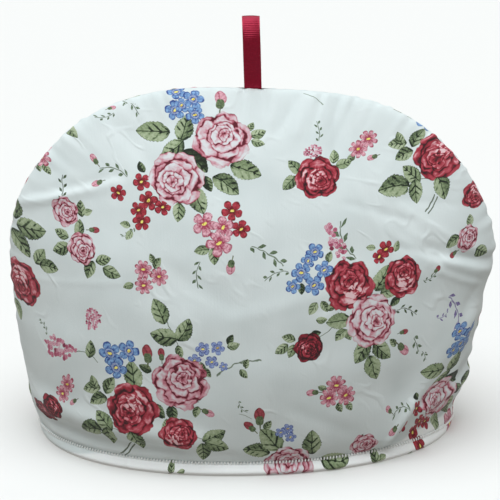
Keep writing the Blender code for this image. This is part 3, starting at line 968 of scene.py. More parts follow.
# %% [markdown]
# Printing the panels. For each layer a face looks for the nearest motif that reaches it.
# The three numbers kept on each of its corners are the place along and aside inside that
# motif, and the motif's code. A face that no motif reaches holds a place far outside.

# %% Printing the panels
NO_MOTIF = 9.0
SEARCHED, REACHED, REACHED_MM = 3, 1.06, 1.6


def inside_motif(place, motif):
    """Place inside a motif: the way from its middle, turned back by its turn, over its size."""
    a, b, size, turn = motif[:4]
    go_a, go_b = (place[..., 0] - a) / size, (place[..., 1] - b) / size
    along = go_a * np.cos(turn) + go_b * np.sin(turn)
    aside = go_b * np.cos(turn) - go_a * np.sin(turn)
    return np.stack([along, aside], axis=-1)


def layer_places(corners, motifs, girth):
    """Places of a face's corners inside the nearest motif that reaches it, and its code; a
    face counts as reached a little beyond the motif's edge, so that none is cut short."""
    middle = corners.mean(axis=1)
    nearest = np.full(len(corners), np.inf)
    owner = np.full(len(corners), -1)
    for number, motif in enumerate(motifs):
        near = np.flatnonzero(np.abs(middle - motif[:2]).max(axis=1) < motif[2] + SEARCHED)
        local = inside_motif(middle[near], motif)
        reach = np.hypot(local[:, 0], local[:, 1] / girth)
        wins = (reach < REACHED + REACHED_MM / motif[2]) & (reach < nearest[near])
        nearest[near[wins]], owner[near[wins]] = reach[wins], number
    found = np.full((len(corners), 4, 3), NO_MOTIF)
    for number, motif in enumerate(motifs):
        mine = np.flatnonzero(owner == number)
        found[mine, :, :2] = inside_motif(corners[mine], motif)
        found[mine, :, 2] = motif[4]
    return found


def print_cloth(piece, laid, behind):
    """Lay the print on the corners of a panel and the cloth's own places on its points, in
    metres, with 0 for the outer skin and 1 for the inner as the third number."""
    place = grid_place.reshape(-1, 2) * (np.array([-1, 1]) if behind else 1)
    order = slice(None, None, -1) if behind else slice(None)
    corners = place[OUTER_QUADS[:, order]]
    blank = np.full((len(INNER_QUADS) + len(RIM_QUADS), 4, 3), NO_MOTIF)
    for name, motifs in into_layers(laid).items():
        found = np.concatenate([layer_places(corners, motifs, GIRTH[name.split("_")[0]]), blank])
        layer = piece.data.attributes.new(name, "FLOAT_VECTOR", "CORNER")
        layer.data.foreach_set("vector", found.astype(np.float32).ravel())
    cloth = np.concatenate([place, place]) / 1000
    cloth = np.column_stack([cloth, np.repeat([0.0, 1.0], len(place))])
    layer = piece.data.attributes.new("cloth", "FLOAT_VECTOR", "POINT")
    layer.data.foreach_set("vector", cloth.astype(np.float32).ravel())
    return corners


front_corners = print_cloth(front, front_laid, False)
back_corners = print_cloth(back, back_laid, True)
print("faces that carry the print on each panel:", len(front_corners))

# %% [markdown]
# A bake map. Anyone who takes the cosy into another program gets its print as a picture, so
# each panel has one map without overlaps: the outer skin lies flat across the top of the
# square, the inner skin smaller below it, and the rim as a thin strip at the foot.

# %% The bake map
OUTER_SCALE, OUTER_CORNER = 2.3, (0.01, 0.305)
INNER_SCALE, INNER_FOOT = 0.95, (0.215, 0.022)
CLOTH_LEFT = 213
STRIP_LEFT, STRIP_RIGHT, STRIP_LOW, STRIP_HIGH = 0.01, 0.99, 0.004, 0.012


def bake_map(piece, corners, behind):
    """Places on the cloth in metres times a scale, in squares to the metre, plus a corner;
    the rim is one strip of boxes from left to right."""
    order = slice(None, None, -1) if behind else slice(None)
    outer = (corners + np.array([CLOTH_LEFT, 0])) / 1000 * OUTER_SCALE + np.array(OUTER_CORNER)
    inner = corners[:, ::-1] / 1000 * INNER_SCALE + np.array(INNER_FOOT)
    run = np.linspace(STRIP_LEFT, STRIP_RIGHT, len(RIM_QUADS) + 1)
    low, high = np.full(len(RIM_QUADS), STRIP_LOW), np.full(len(RIM_QUADS), STRIP_HIGH)
    rim = np.stack([np.stack([run[1:], high], 1), np.stack([run[:-1], high], 1),
                    np.stack([run[:-1], low], 1), np.stack([run[1:], low], 1)], axis=1)[:, order]
    layer = piece.data.uv_layers.new(name="OFBake")
    layer.uv.foreach_set("vector", np.concatenate([outer, inner, rim]).astype(np.float32).ravel())
    return outer


front_map = bake_map(front, front_corners, False)
bake_map(back, back_corners, True)
print("outer skin on the map:", front_map.min().round(3), "to", front_map.max().round(3))

# %% [markdown]
# Stitches along the hem. The hem is sewn down by hand, with small slanted stitches a little
# over two millimetres apart. Each one is a short bent thread with rounded ends: a circle
# carried along an arc and closed to a point at both ends. They are all one mesh, set on the
# row of the panel where the hem ends.

# %% Hem stitches
STITCH_PITCH, STITCH_HALF, THREAD_HALF = 0.0023, 0.00125, 0.00062
STITCH_SLANT, STITCH_DROP = 1.40, 0.0005
STITCH_LIFT, STITCH_HUMP = 0.0010, 0.0007
SWAYS = ((0.12, 900), (0.10, 2330))
RINGS, RING_POINTS = 7, 6


def stitch_middles(outer):
    """Distance along the hem line, place, outward normal and direction of each stitch."""
    line, normal = outer[HEM_ROWS], outward(outer)[HEM_ROWS]
    run = np.append(0, np.cumsum(np.linalg.norm(np.diff(line, axis=0), axis=1)))
    at = np.arange(STITCH_PITCH, run[-1] - STITCH_PITCH, STITCH_PITCH)
    middle, out = (np.stack([np.interp(at, run, axis) for axis in values.T], axis=1)
                   for values in (line, normal))
    ahead = np.gradient(middle, axis=0)
    return at, middle, out, ahead / np.linalg.norm(ahead, axis=1, keepdims=True)


def stitches(name, outer, behind):
    """Capsules along the hem line: each spine is a hump over the cloth, and the thread's
    radius falls to nearly nothing at its ends, by the root of 1 less the fourth power."""
    at, middle, out, ahead = stitch_middles(outer)
    rise = np.cross(out, ahead)
    slant = STITCH_SLANT + sum(size * np.sin(at * pace) for size, pace in SWAYS)
    thread = ahead * np.cos(slant)[:, None] + rise * np.sin(slant)[:, None]
    side = np.cross(out, thread)
    t = np.linspace(-1, 1, RINGS)
    radius = THREAD_HALF * np.clip(1 - t**4, 0.02, 1) ** 0.5
    turn = np.arange(RING_POINTS) * 2 * np.pi / RING_POINTS
    spine = (middle - STITCH_DROP * rise)[:, None] + thread[:, None] * (t * STITCH_HALF)[:, None]
    spine += out[:, None] * (STITCH_LIFT + STITCH_HUMP * (1 - t**2))[:, None]
    ring = side[:, None, None] * np.cos(turn)[:, None] + out[:, None, None] * np.sin(turn)[:, None]
    points = spine[:, :, None] + ring * radius[:, None, None]
    index = np.arange(len(at) * RINGS * RING_POINTS).reshape(len(at), RINGS, RING_POINTS)
    following = np.roll(index, -1, axis=2)
    tube = [index[:, :-1], following[:, :-1], following[:, 1:], index[:, 1:]]
    tube = np.stack(tube, axis=-1).reshape(-1, 4)
    first, last = index[:, 0], index[:, -1]
    ends = [first[:, [3, 2, 1, 0]], first[:, [5, 4, 3, 0]]]
    ends += [last[:, [0, 1, 2, 3]], last[:, [0, 3, 4, 5]]]
    quads = np.concatenate([tube] + ends)
    vertices = points.reshape(-1, 3)
    if behind:
        vertices, quads = vertices * np.array([1, -1, 1]), quads[:, ::-1]
    print(name, len(at), "stitches")
    return mesh_object(name, vertices, quads)


front_stitches = stitches("front_hem_stitches", front_outer, False)
back_stitches = stitches("back_hem_stitches", back_outer, True)

# %% [markdown]
# The ribbon loop: one length of red grosgrain folded in two, with both ends caught in the
# seam. Grosgrain has ribs across its width and a tighter woven edge on each side. The side
# view is a path, half an ellipse over two legs that draw together; the ribs are a small
# ripple of the thickness along it, and the edges are a fine bead.

# %% The ribbon loop
RIBBON_WIDTH = 0.0124
RIBBON_FOOT_Z = 0.2556
LOOP_TOP_Z = 0.3128
LOOP_HALF, LOOP_CROWN, LOOP_FLAT = 0.0058, 0.0140, 0.0024
LOOP_CLOSED = 0.16
LOOP_TURN, LOOP_SLANT, LOOP_LEFT = -0.05, -0.0015, 0.0006
LEG_POINTS, TURN_POINTS, PATH_POINTS, WIDTH_POINTS = 80, 60, 560, 17


def ribbon_path():
    """Side view of the folded ribbon, evenly spaced: leg, half ellipse with a flat, leg."""
    leg = (RIBBON_THICKNESS + RIBBON_SIDE_GAP) / 2
    spring_z = LOOP_TOP_Z - RIBBON_THICKNESS / 2 - LOOP_CROWN
    turn = np.linspace(np.pi / 2, np.arcsin(LOOP_FLAT / 2 / LOOP_HALF), TURN_POINTS)
    down = np.linspace(1, 0, LEG_POINTS)[:-1]
    leg_y = leg + (LOOP_HALF - leg) * soft_step((down - LOOP_CLOSED) / (1 - LOOP_CLOSED))
    leg_z = RIBBON_FOOT_Z + (spring_z - RIBBON_FOOT_Z) * down
    crown_y = LOOP_HALF * np.sin(turn[1:])
    crown_z = spring_z + LOOP_CROWN * np.cos(turn[1:]) / np.cos(turn[-1])
    half_y = np.concatenate([[leg], leg_y[::-1], crown_y])
    half_z = np.concatenate([[RIBBON_FOOT_Z], leg_z[::-1], crown_z])
    y, z = np.append(-half_y, half_y[::-1]), np.append(half_z, half_z[::-1])
    run = np.append(0, np.cumsum(np.hypot(np.diff(y), np.diff(z))))
    even_run = np.linspace(0, run[-1], PATH_POINTS)
    return np.interp(even_run, run, y), np.interp(even_run, run, z), even_run


path_y, path_z, path_run = ribbon_path()
print("ribbon seen, mm:", round(path_run[-1] * 1000))

# %% [markdown]
# The ribbon's surface. Both faces follow the path at half the thickness from it. The woven
# edges are a fine bead, and the middle cups a little where the loop is free of the seam.

# %% Ribs and edges
RIB_PITCH, RIB_RISE, RIB_LEVEL = 0.00125, 0.00016, 0.6
BEAD_RISE, BEAD_HALF = 0.00012, 0.0006
FACE_INSET = 0.00008
CUP_DEPTH, CUP_FROM_Z, CUP_OVER = 0.0004, 0.272, 0.020


def ribbon(name, y, z, run):
    """Closed strip: the path carried across the width. Each face stands off it by half the
    thickness plus the ribs, a folded sine of the run, plus the bead of the edges; the whole
    is cupped by the square of the way across, and turns and leans as it rises."""
    across = np.sin(np.linspace(-1, 1, WIDTH_POINTS) * np.pi / 2) * RIBBON_WIDTH / 2
    slope_y, slope_z = np.gradient(y), np.gradient(z)
    size = np.hypot(slope_y, slope_z)
    out_y, out_z = -slope_z / size, slope_y / size
    bead = BEAD_RISE * np.exp(-(((RIBBON_WIDTH / 2 - np.abs(across)) / BEAD_HALF) ** 2))
    rib = RIB_RISE * (np.abs(np.sin(np.pi * run / RIB_PITCH)) - RIB_LEVEL)
    half = (RIBBON_THICKNESS / 2 - FACE_INSET) + rib[:, None] * (1 - bead / BEAD_RISE) + bead
    free = np.clip((z - CUP_FROM_Z) / CUP_OVER, 0, 1)[:, None]
    cup = CUP_DEPTH * (across / (RIBBON_WIDTH / 2)) ** 2 * free
    skins = []
    for face in (1, -1):
        flat_y = y[:, None] + out_y[:, None] * (face * half - cup)
        flat_z = z[:, None] + out_z[:, None] * (face * half - cup)
        share = np.clip((flat_z - HEIGHT) / (LOOP_TOP_Z - HEIGHT), 0, 1)
        turn = LOOP_TURN * share**2
        x = across * np.cos(turn) - flat_y * np.sin(turn) + LOOP_SLANT * share - LOOP_LEFT
        skins.append(np.stack([x, across * np.sin(turn) + flat_y * np.cos(turn), flat_z], axis=2))
    quads = np.concatenate(shell_quads(*skins[0].shape[:2]))
    vertices = np.concatenate([face.reshape(-1, 3) for face in skins])
    made = mesh_object(name, vertices, quads)
    along = np.tile(np.repeat(run, len(across)), 2)
    path = np.column_stack([along, np.tile(across, 2 * len(run)), np.zeros(len(vertices))])
    layer = made.data.attributes.new("cloth", "FLOAT_VECTOR", "POINT")
    layer.data.foreach_set("vector", path.astype(np.float32).ravel())
    made.data.set_sharp_from_angle(angle=SHARP_EDGE)
    return made


loop = ribbon("ribbon_loop", path_y, path_z, path_run)
print("quads in the ribbon:", len(loop.data.polygons))

# %% [markdown]
# Adding nodes. A material is a chain of small sums, so one function adds a node, sets it
# and links it, and the chain then reads like the formula it works out. Colours are written
# as the hex values a paint chart gives and turned to the linear light that Blender adds up.

# %% Nodes and colours
def linear(colour):
    """sRGB hex to linear: a straight line below 0.04045 and a power of 2.4 above it."""
    value = np.array([int(colour[k:k + 2], 16) for k in (1, 3, 5)]) / 255
    return (*np.where(value <= 0.04045, value / 12.92, ((value + 0.055) / 1.055) ** 2.4), 1.0)


def node(tree, kind, *values, out=0, stops=None, named=None, **settings):
    """Add one node, as "Kind" or "Kind.OPERATION": its settings, then each value in the
    order of its inputs (or by name), linked if it is a socket and set if it is a number."""
    name, _, operation = kind.partition(".")
    made = tree.nodes.new(name if name.startswith("Node") else "ShaderNode" + name)
    if operation:
        made.operation = operation
    for key, value in settings.items():
        setattr(made, key, value)
    if stops:
        ramp = made.color_ramp
        for number, (position, colour) in enumerate(stops):
            stop = ramp.elements[number] if number < 2 else ramp.elements.new(position)
            stop.position, stop.color = position, linear(colour)
    pairs = [(made.inputs[key], value) for key, value in (named or {}).items()]
    for socket, value in pairs + list(zip(made.inputs, values)):
        if isinstance(value, bpy.types.NodeSocket):
            tree.links.new(value, socket)
        elif value is not None:
            socket.default_value = value
    return made.outputs if out is None or not made.outputs else made.outputs[out]


def new_group(name, inputs, outputs):
    """An empty node group: its tree, the adding function for it, its inputs and its end."""
    tree = bpy.data.node_groups.new(name, "ShaderNodeTree")
    for side, sockets in (("INPUT", inputs), ("OUTPUT", outputs)):
        for socket, kind in sockets.items():
            tree.interface.new_socket(name=socket, in_out=side, socket_type="NodeSocket" + kind)
    add = partial(node, tree)
    return tree, add, add("NodeGroupInput", out=None)


MOTIF_IN = {"place": "Vector", "wander": "Vector", "fleck": "Float"}
MOTIF_OUT = {"colour": "Color", "cover": "Float"}


def new_motif(name):
    """A motif's group: the place along and aside inside it, its number, its finish, three
    slow noises that make the drawing wander, and a fine one that flecks the paint."""
    tree, add, given = new_group(name, MOTIF_IN, MOTIF_OUT)
    u, v, code = add("SeparateXYZ", given[0], out=None)
    waves = add("SeparateXYZ", given[1], out=None)
    return tree, add, u, v, add("Math.FLOOR", code), add("Math.FRACT", code), waves, given[2]


def wandered(add, u, v, waves, width):
    """The place inside a motif, moved each way by a noise over the width given."""
    moved = [add("Math.ADD", old, add("Math.MULTIPLY_ADD", wave, width, -width / 2))
             for old, wave in zip((u, v), waves)]
    return add("CombineXYZ", *moved, 0.0), moved


MOTIFS = {}


def keep_motif(name, tree):
    """Keep a motif's group under the name of its kind, and say how many nodes it took."""
    MOTIFS[name] = tree
    print(name, "nodes:", len(tree.nodes))


print("white of the ground, linear:", np.round(linear("#d8e1e1")[:3], 3))

# %% [markdown]
# A printed leaf. On chintz a leaf is a lens with a toothed edge, darker along its rim, its
# midrib and its side veins, as if brushed with three greens. The place along the leaf gives
# the width it has there, and how far a point is inside that width gives rim and cover.

# %% Printed leaf
LEAF_PAINTS = ((0, "#141f10"), (0.26, "#33442c"), (0.56, "#7d8f69"), (1, "#b0bd9e"))


def printed_leaf():
    """Half width = (1 - u^2)^0.75 (0.67 - 0.14 u), less the teeth; bent by (1 - u^2). The
    tone is a middle green, less the shade of the outer half, the midrib, the veins, the rim
    and the root."""
    tree, add, u, v, seed, key, waves, fleck = new_motif("printed_leaf")
    long = add("Math.MAXIMUM", add("Math.SUBTRACT", 1.0, add("Math.MULTIPLY", u, u)), 0.0)
    lean = add("Math.FRACT", add("Math.MULTIPLY", seed, 0.37))
    lean = add("MapRange", lean, 0.0, 1.0, -0.13, 0.13)
    ragged = add("Math.MULTIPLY_ADD", waves[0], 0.16, -0.08)
    middle = add("Math.MULTIPLY_ADD", lean, long, ragged)
    off = add("Math.SUBTRACT", v, middle)
    side = add("Math.ABSOLUTE", off)
    teeth = add("Math.FRACT", add("Math.MULTIPLY_ADD", u, 4.5, add("Math.MULTIPLY", side, -2.5)))
    taper = add("Math.MULTIPLY_ADD", u, -0.14, 0.67)
    half = add("Math.MULTIPLY", add("Math.POWER", long, 0.75), taper)
    half = add("Math.MULTIPLY", half, add("Math.MULTIPLY_ADD", teeth, -0.10, 1.0))
    inside = add("Math.SUBTRACT", half, side)
    cover = add("MapRange", inside, 0.0, 0.03, 0.0, 1.0)
    tone = add("Math.MULTIPLY_ADD", fleck, 0.34, 0.50)
    outer_half = add("MapRange", add("Math.MULTIPLY", off, lean), 0.0, 0.016, 0.0, 0.26)
    tone = add("Math.SUBTRACT", tone, outer_half)
    tone = add("Math.SUBTRACT", tone, add("MapRange", side, 0.015, 0.045, 0.55, 0.0))
    slanted = add("Math.MULTIPLY_ADD", u, 2.0, add("Math.MULTIPLY_ADD", side, -2.0, seed))
    vein = add("MapRange", add("Math.PINGPONG", slanted, 0.5), 0.07, 0.24, 0.70, 0.0)
    vein = add("Math.MULTIPLY", vein, add("MapRange", inside, 0.04, 0.2, 0.0, 1.0))
    vein = add("Math.MULTIPLY", vein, add("MapRange", waves[1], 0.42, 0.56, 0.15, 1.0))
    lit = add("MapRange", add("Math.MULTIPLY", off, add("Math.SIGN", lean)), -0.25, 0.0, 0.16, 0.0)
    tone = add("Math.ADD", tone, lit)
    tone = add("Math.SUBTRACT", tone, vein)
    rim = add("MapRange", inside, 0.01, 0.07, 0.8, 0.0)
    rim = add("Math.MULTIPLY", rim, add("MapRange", waves[2], 0.4, 0.6, 0.15, 1.0))
    tone = add("Math.SUBTRACT", tone, rim)
    root = add("Math.MULTIPLY_ADD", side, 1.6, u)
    tone = add("Math.SUBTRACT", tone, add("MapRange", root, -0.9, -0.2, 0.30, 0.0))
    tone = add("Math.MULTIPLY_ADD", add("Math.COMPARE", key, 0.5, 0.2), -0.34, tone)
    tone = add("Math.MULTIPLY_ADD", add("Math.GREATER_THAN", key, 0.7), 0.16, tone)
    add("NodeGroupOutput", add("ValToRGB", tone, stops=LEAF_PAINTS), cover)
    return tree


keep_motif("leaf", printed_leaf())

# %% [markdown]
# A printed rose. A garden rose seen from the front is a nest of cupped petals that get
# smaller towards a heart which sits off the middle. Each ring of petals is a circle with
# a scalloped lip; it is pale at the lip, dark in its cup, and throws a shade on the ring
# outside it. Five rings painted one over the other make the flower.

# %% One ring of petals
def petal_ring():
    """Lip = reach (0.90 + 0.14 |cos(lobes * angle + phase)|), far = distance over lip. The
    petal pales from its cup to its lip, with a broken rim and a notch between petals; past
    far = 1 a wash and a broken line darken the ring outside."""
    tree, add, given = new_group(
        "petal_ring", {"place": "Vector", "reach": "Float", "lobes": "Float", "phase": "Float",
                       "middle": "Vector", "tone": "Float", "strokes": "Float"},
        {"tone": "Float", "far": "Float"})
    away = add("VectorMath.SUBTRACT", given[0], given[4])
    x, y, _ = add("SeparateXYZ", away, out=None)
    lobe = add("Math.MULTIPLY_ADD", add("Math.ARCTAN2", y, x), given[2], given[3])
    lobe = add("Math.ABSOLUTE", add("Math.COSINE", lobe))
    lip = add("Math.MULTIPLY", given[1], add("Math.MULTIPLY_ADD", lobe, 0.14, 0.90))
    far = add("Math.DIVIDE", add("VectorMath.LENGTH", away, out=1), lip)
    broken = add("MapRange", given[6], 0.25, 0.7, 1.0, 0.2)
    wash = add("MapRange", far, 1.0, 1.32, 0.42, 0.0)
    line = add("Math.MULTIPLY", add("MapRange", far, 1.03, 1.11, 0.60, 0.0), broken)
    under = add("Math.SUBTRACT", add("Math.SUBTRACT", given[5], wash), line)
    petal = add("MapRange", far, 0.15, 0.75, 0.50, 0.95)
    rim = add("Math.MULTIPLY", add("MapRange", far, 0.90, 0.98, 0.0, 0.50), broken)
    notch = add("MapRange", lobe, 0.0, 0.30, 0.5, 0.0)
    notch = add("Math.MULTIPLY", notch, add("MapRange", far, 0.5, 0.9, 0.0, 1.0))
    petal = add("Math.SUBTRACT", add("Math.SUBTRACT", petal, rim), notch)
    inside = add("MapRange", far, 1.0, 0.965, 0.0, 1.0)
    tone = add("Math.MULTIPLY_ADD", inside, add("Math.SUBTRACT", petal, under), under)
    add("NodeGroupOutput", tone, far)
    return tree


PETAL_RING = petal_ring()
print("nodes in a ring:", len(PETAL_RING.nodes))

# %% [markdown]
# The whole rose. Strokes of the brush run out from the heart, which is dark. The same tone
# is painted with pinks or with reds; a red rose also has a wet pale patch on one side.

# %% Printed rose
RINGS_OF_PETALS = [
    # reach, lobes, along, aside, turn
    (0.95, 3.0, 0.00, 0.00, 1.7),
    (0.74, 2.5, 0.05, 0.05, 2.9),
    (0.54, 2.0, 0.10, -0.04, 4.3),
    (0.36, 1.5, 0.16, 0.02, 5.1),
    (0.20, 1.0, 0.20, 0.00, 7.7),
]
HEART = (0.20, 0.0, 0.0)
PINK_PAINTS = ((0, "#5a1020"), (0.18, "#964050"), (0.40, "#bc7886"), (0.60, "#cca0aa"),
               (0.76, "#d0c0c6"), (1, "#d6d8db"))
RED_PAINTS = ((0, "#2e060c"), (0.2, "#641120"), (0.45, "#982434"), (0.66, "#b24956"),
              (0.82, "#d08d96"), (1, "#e2c2c6"))


def printed_rose():
    """Rings whose middles drift to the heart, each painted over the last; the strokes are a
    noise of the direction from the heart and of the distance from it times 7."""
    tree, add, u, v, seed, key, waves, fleck = new_motif("printed_rose")
    place, _ = wandered(add, u, v, waves, 0.26)
    from_heart = add("VectorMath.SUBTRACT", place, HEART)
    heart = add("VectorMath.LENGTH", from_heart, out=1)
    ring_place = add("VectorMath.SCALE", add("VectorMath.NORMALIZE", from_heart), None, None, 2.4)
    lift = add("CombineXYZ", 0.0, 0.0, add("Math.MULTIPLY_ADD", heart, 7.0, seed))
    strokes = add("TexNoise", add("VectorMath.ADD", ring_place, lift), 0.0, 1.0, 1.0, 0.6)
    tone, cover = 0.9, None
    for reach, lobes, along, aside, turn in RINGS_OF_PETALS:
        phase = add("Math.MULTIPLY", seed, turn)
        tone, far = add("Group", place, reach, lobes, phase, (along, aside, 0.0), tone, strokes,
                        out=None, node_tree=PETAL_RING)
        if cover is None:
            cover = add("MapRange", far, 1.0, 0.97, 0.0, 1.0)
    tone = add("Math.SUBTRACT", tone, add("MapRange", heart, 0.0, 0.28, 0.52, 0.0))
    tone = add("Math.ADD", tone, add("MapRange", strokes, 0.3, 0.7, -0.30, 0.24))
    tone = add("Math.ADD", tone, add("Math.MULTIPLY_ADD", fleck, 0.16, -0.08))
    blush = add("Math.COMPARE", key, 0.3, 0.12)
    tone = add("Math.MULTIPLY_ADD", blush, -0.14, tone)
    pink = add("ValToRGB", tone, stops=PINK_PAINTS)
    low = add("VectorMath.DISTANCE", place, (-0.30, -0.15, 0.0), out=1)
    wet = add("MapRange", low, 0.15, 0.6, 1.0, 0.0)
    wet = add("Math.MULTIPLY", wet, add("MapRange", strokes, 0.42, 0.56, 0.0, 0.46))
    tone = add("Math.ADD", add("Math.MULTIPLY", tone, 0.74), wet)
    tone = add("Math.MULTIPLY_ADD", add("Math.GREATER_THAN", key, 0.8), -0.28, tone)
    red = add("ValToRGB", tone, stops=RED_PAINTS)
    colour = add("MixRGB", add("Math.GREATER_THAN", key, 0.45), pink, red)
    add("NodeGroupOutput", colour, cover)
    return tree


keep_motif("rose", printed_rose())

# %% [markdown]
# A small open blossom. Five petals in a star, or eight on a daisy, each a rounded tab: the
# angle round the flower is folded into one petal, and a rounded arch over that petal says
# how far it reaches. Dark streaks run from the eye, and the eye is yellow.

# %% Printed blossom
BLOSSOM_PAINTS = [
    # from this finish on, dark, light
    (0, "#27478f", "#8ab3dc"),
    (0.2, "#3f5196", "#9cb0da"),
    (0.4, "#620c18", "#be3c4a"),
    (0.6, "#a23a56", "#ecc0cc"),
    (0.84, "#9a3650", "#e6b4c0"),
]
BLUE_BELOW, DAISY_ABOVE = 0.4, 0.84
FIVE_PETALS, EIGHT_PETALS = 0.796, 1.276  # petals to the radian


def printed_blossom():
    """Petal reach = 0.34 + 0.62 (1 - |w|^2.6)^0.5, with w the place across one petal."""
    tree, add, u, v, seed, key, waves, fleck = new_motif("printed_blossom")
    place, (warp_u, warp_v) = wandered(add, u, v, waves, 0.24)
    far = add("VectorMath.LENGTH", place, out=1)
    daisy = add("Math.GREATER_THAN", key, DAISY_ABOVE)
    petals = add("Math.MULTIPLY_ADD", daisy, EIGHT_PETALS - FIVE_PETALS, FIVE_PETALS)
    angle = add("Math.MULTIPLY_ADD", add("Math.ARCTAN2", warp_v, warp_u), petals, seed)
    across = add("Math.MULTIPLY_ADD", add("Math.FRACT", angle), 2.0, -1.0)
    across = add("Math.ABSOLUTE", across)
    arch_over = add("Math.SUBTRACT", 1.0, add("Math.POWER", across, 2.6))
    reach = add("Math.MULTIPLY_ADD", add("Math.SQRT", arch_over), 0.62, 0.34)
    x = add("Math.DIVIDE", far, reach)
    cover = add("MapRange", x, 1.0, 0.95, 0.0, 1.0)
    tone = add("Math.MULTIPLY_ADD", fleck, 0.9, 0.32)
    tip = add("MapRange", waves[2], 0.45, 0.6, 0.0, 1.1)
    tip = add("Math.MULTIPLY", add("MapRange", x, 0.76, 0.95, 0.0, 1.0), tip)
    tone = add("Math.SUBTRACT", tone, tip)
    tone = add("Math.SUBTRACT", tone, add("MapRange", across, 0.72, 0.98, 0.0, 0.55))
    tone = add("Math.SUBTRACT", tone, add("MapRange", far, 0.2, 0.70, 0.75, 0.0))
    tone = add("Math.SUBTRACT", tone, add("MapRange", across, 0.0, 0.16, 0.20, 0.0))
    finishes, darks, lights = zip(*BLOSSOM_PAINTS)
    dark = add("ValToRGB", key, stops=tuple(zip(finishes, darks)))
    light = add("ValToRGB", key, stops=tuple(zip(finishes, lights)))
    for ramp in (dark, light):
        ramp.node.color_ramp.interpolation = "CONSTANT"
    colour = add("MixRGB", add("MapRange", tone, 0.0, 1.0, 0.0, 1.0), dark, light)
    accent = add("MapRange", x, 0.76, 0.90, 0.0, 0.85)
    accent = add("Math.MULTIPLY", accent, add("MapRange", fleck, 0.50, 0.65, 0.0, 1.0))
    is_blue = add("Math.LESS_THAN", key, BLUE_BELOW)
    tip = add("MixRGB", is_blue, linear("#7c1a2c"), linear("#27356e"))
    colour = add("MixRGB", accent, colour, tip)
    ring = add("Math.COMPARE", far, 0.30, 0.07)
    ring = add("Math.MULTIPLY", ring, add("Math.LESS_THAN", key, BLUE_BELOW))
    colour = add("MixRGB", add("Math.MULTIPLY", ring, 0.3), colour, linear("#e6eef8"))
    oval = add("VectorMath.MULTIPLY", place, (1.0, 1.7, 1.0))
    eye = add("MapRange", add("VectorMath.LENGTH", oval, out=1), 0.22, 0.16, 0.0, 1.0)
    yellow = add("Math.GREATER_THAN", fleck, 0.35)
    yellow = add("MixRGB", yellow, linear("#c9a83a"), linear("#f0e678"))
    colour = add("MixRGB", eye, colour, yellow)
    add("NodeGroupOutput", colour, cover)
    return tree


keep_motif("blossom", printed_blossom())

# %% [markdown]
# A rosebud on its stalk. It is an egg of closed petals held in a green cup: the petals are
# one oval, the cup two smaller ones side by side behind it, and the stalk a line to the foot.

# %% Printed bud
RED_BUD_ABOVE = 0.6


def printed_bud():
    """Petals: an oval of 0.62 by 0.42 about (0.32, 0); cup: ovals of 0.40 by 0.22 about
    (-0.16, 0.10) and its mirror image."""
    tree, add, u, v, _, key, waves, fleck = new_motif("printed_bud")
    warp_v = add("Math.ADD", v, add("Math.MULTIPLY_ADD", waves[1], 0.20, -0.10))
    place = add("CombineXYZ", u, warp_v, 0.0)
    petals = add("VectorMath.SUBTRACT", place, (0.32, 0.0, 0.0))
    petals = add("VectorMath.DIVIDE", petals, (0.62, 0.42, 1.0))
    petals = add("VectorMath.LENGTH", petals, out=1)
    in_petals = add("MapRange", petals, 1.0, 0.94, 0.0, 1.0)
    side = add("Math.ABSOLUTE", warp_v)
    cup = add("VectorMath.SUBTRACT", add("CombineXYZ", u, side, 0.0), (-0.16, 0.10, 0.0))
    cup = add("VectorMath.LENGTH", add("VectorMath.DIVIDE", cup, (0.40, 0.22, 1.0)), out=1)
    in_cup = add("MapRange", cup, 1.0, 0.92, 0.0, 1.0)
    stalk = add("MapRange", side, 0.07, 0.04, 0.0, 1.0)
    stalk = add("Math.MULTIPLY", stalk, add("MapRange", u, 0.0, -0.05, 0.0, 1.0))
    stalk = add("Math.MULTIPLY", stalk, add("MapRange", u, -1.0, -0.97, 0.0, 1.0))
    green = add("Math.MAXIMUM", in_cup, stalk)
    tone = add("Math.MULTIPLY_ADD", fleck, 0.6, 0.30)
    tone = add("Math.SUBTRACT", tone, add("MapRange", petals, 0.7, 1.0, 0.0, 0.35))
    fold = add("Math.ABSOLUTE", add("Math.SUBTRACT", warp_v, add("Math.MULTIPLY", u, 0.25)))
    tone = add("Math.SUBTRACT", tone, add("MapRange", fold, 0.02, 0.10, 0.35, 0.0))
    red = add("Math.GREATER_THAN", key, RED_BUD_ABOVE)
    dark = add("MixRGB", red, linear("#9c3650"), linear("#5a141c"))
    pale = add("MixRGB", red, linear("#e9bcc8"), linear("#b8505a"))
    colour = add("MixRGB", tone, dark, pale, use_clamp=True)
    leafy = add("MixRGB", fleck, linear("#2b3c25"), linear("#74875f"))
    colour = add("MixRGB", green, colour, leafy)
    add("NodeGroupOutput", colour, add("Math.MAXIMUM", in_petals, green))
    return tree


keep_motif("bud", printed_bud())

# %% [markdown]
# Twigs. Between the flowers run thin curved stems with small leaves on alternate sides.
# The stem is a bent line; its leaves are small lenses, one in each third of its half, tipped
# forward. Its finish leaves the stem bare, makes it two, darkens it or turns it violet.

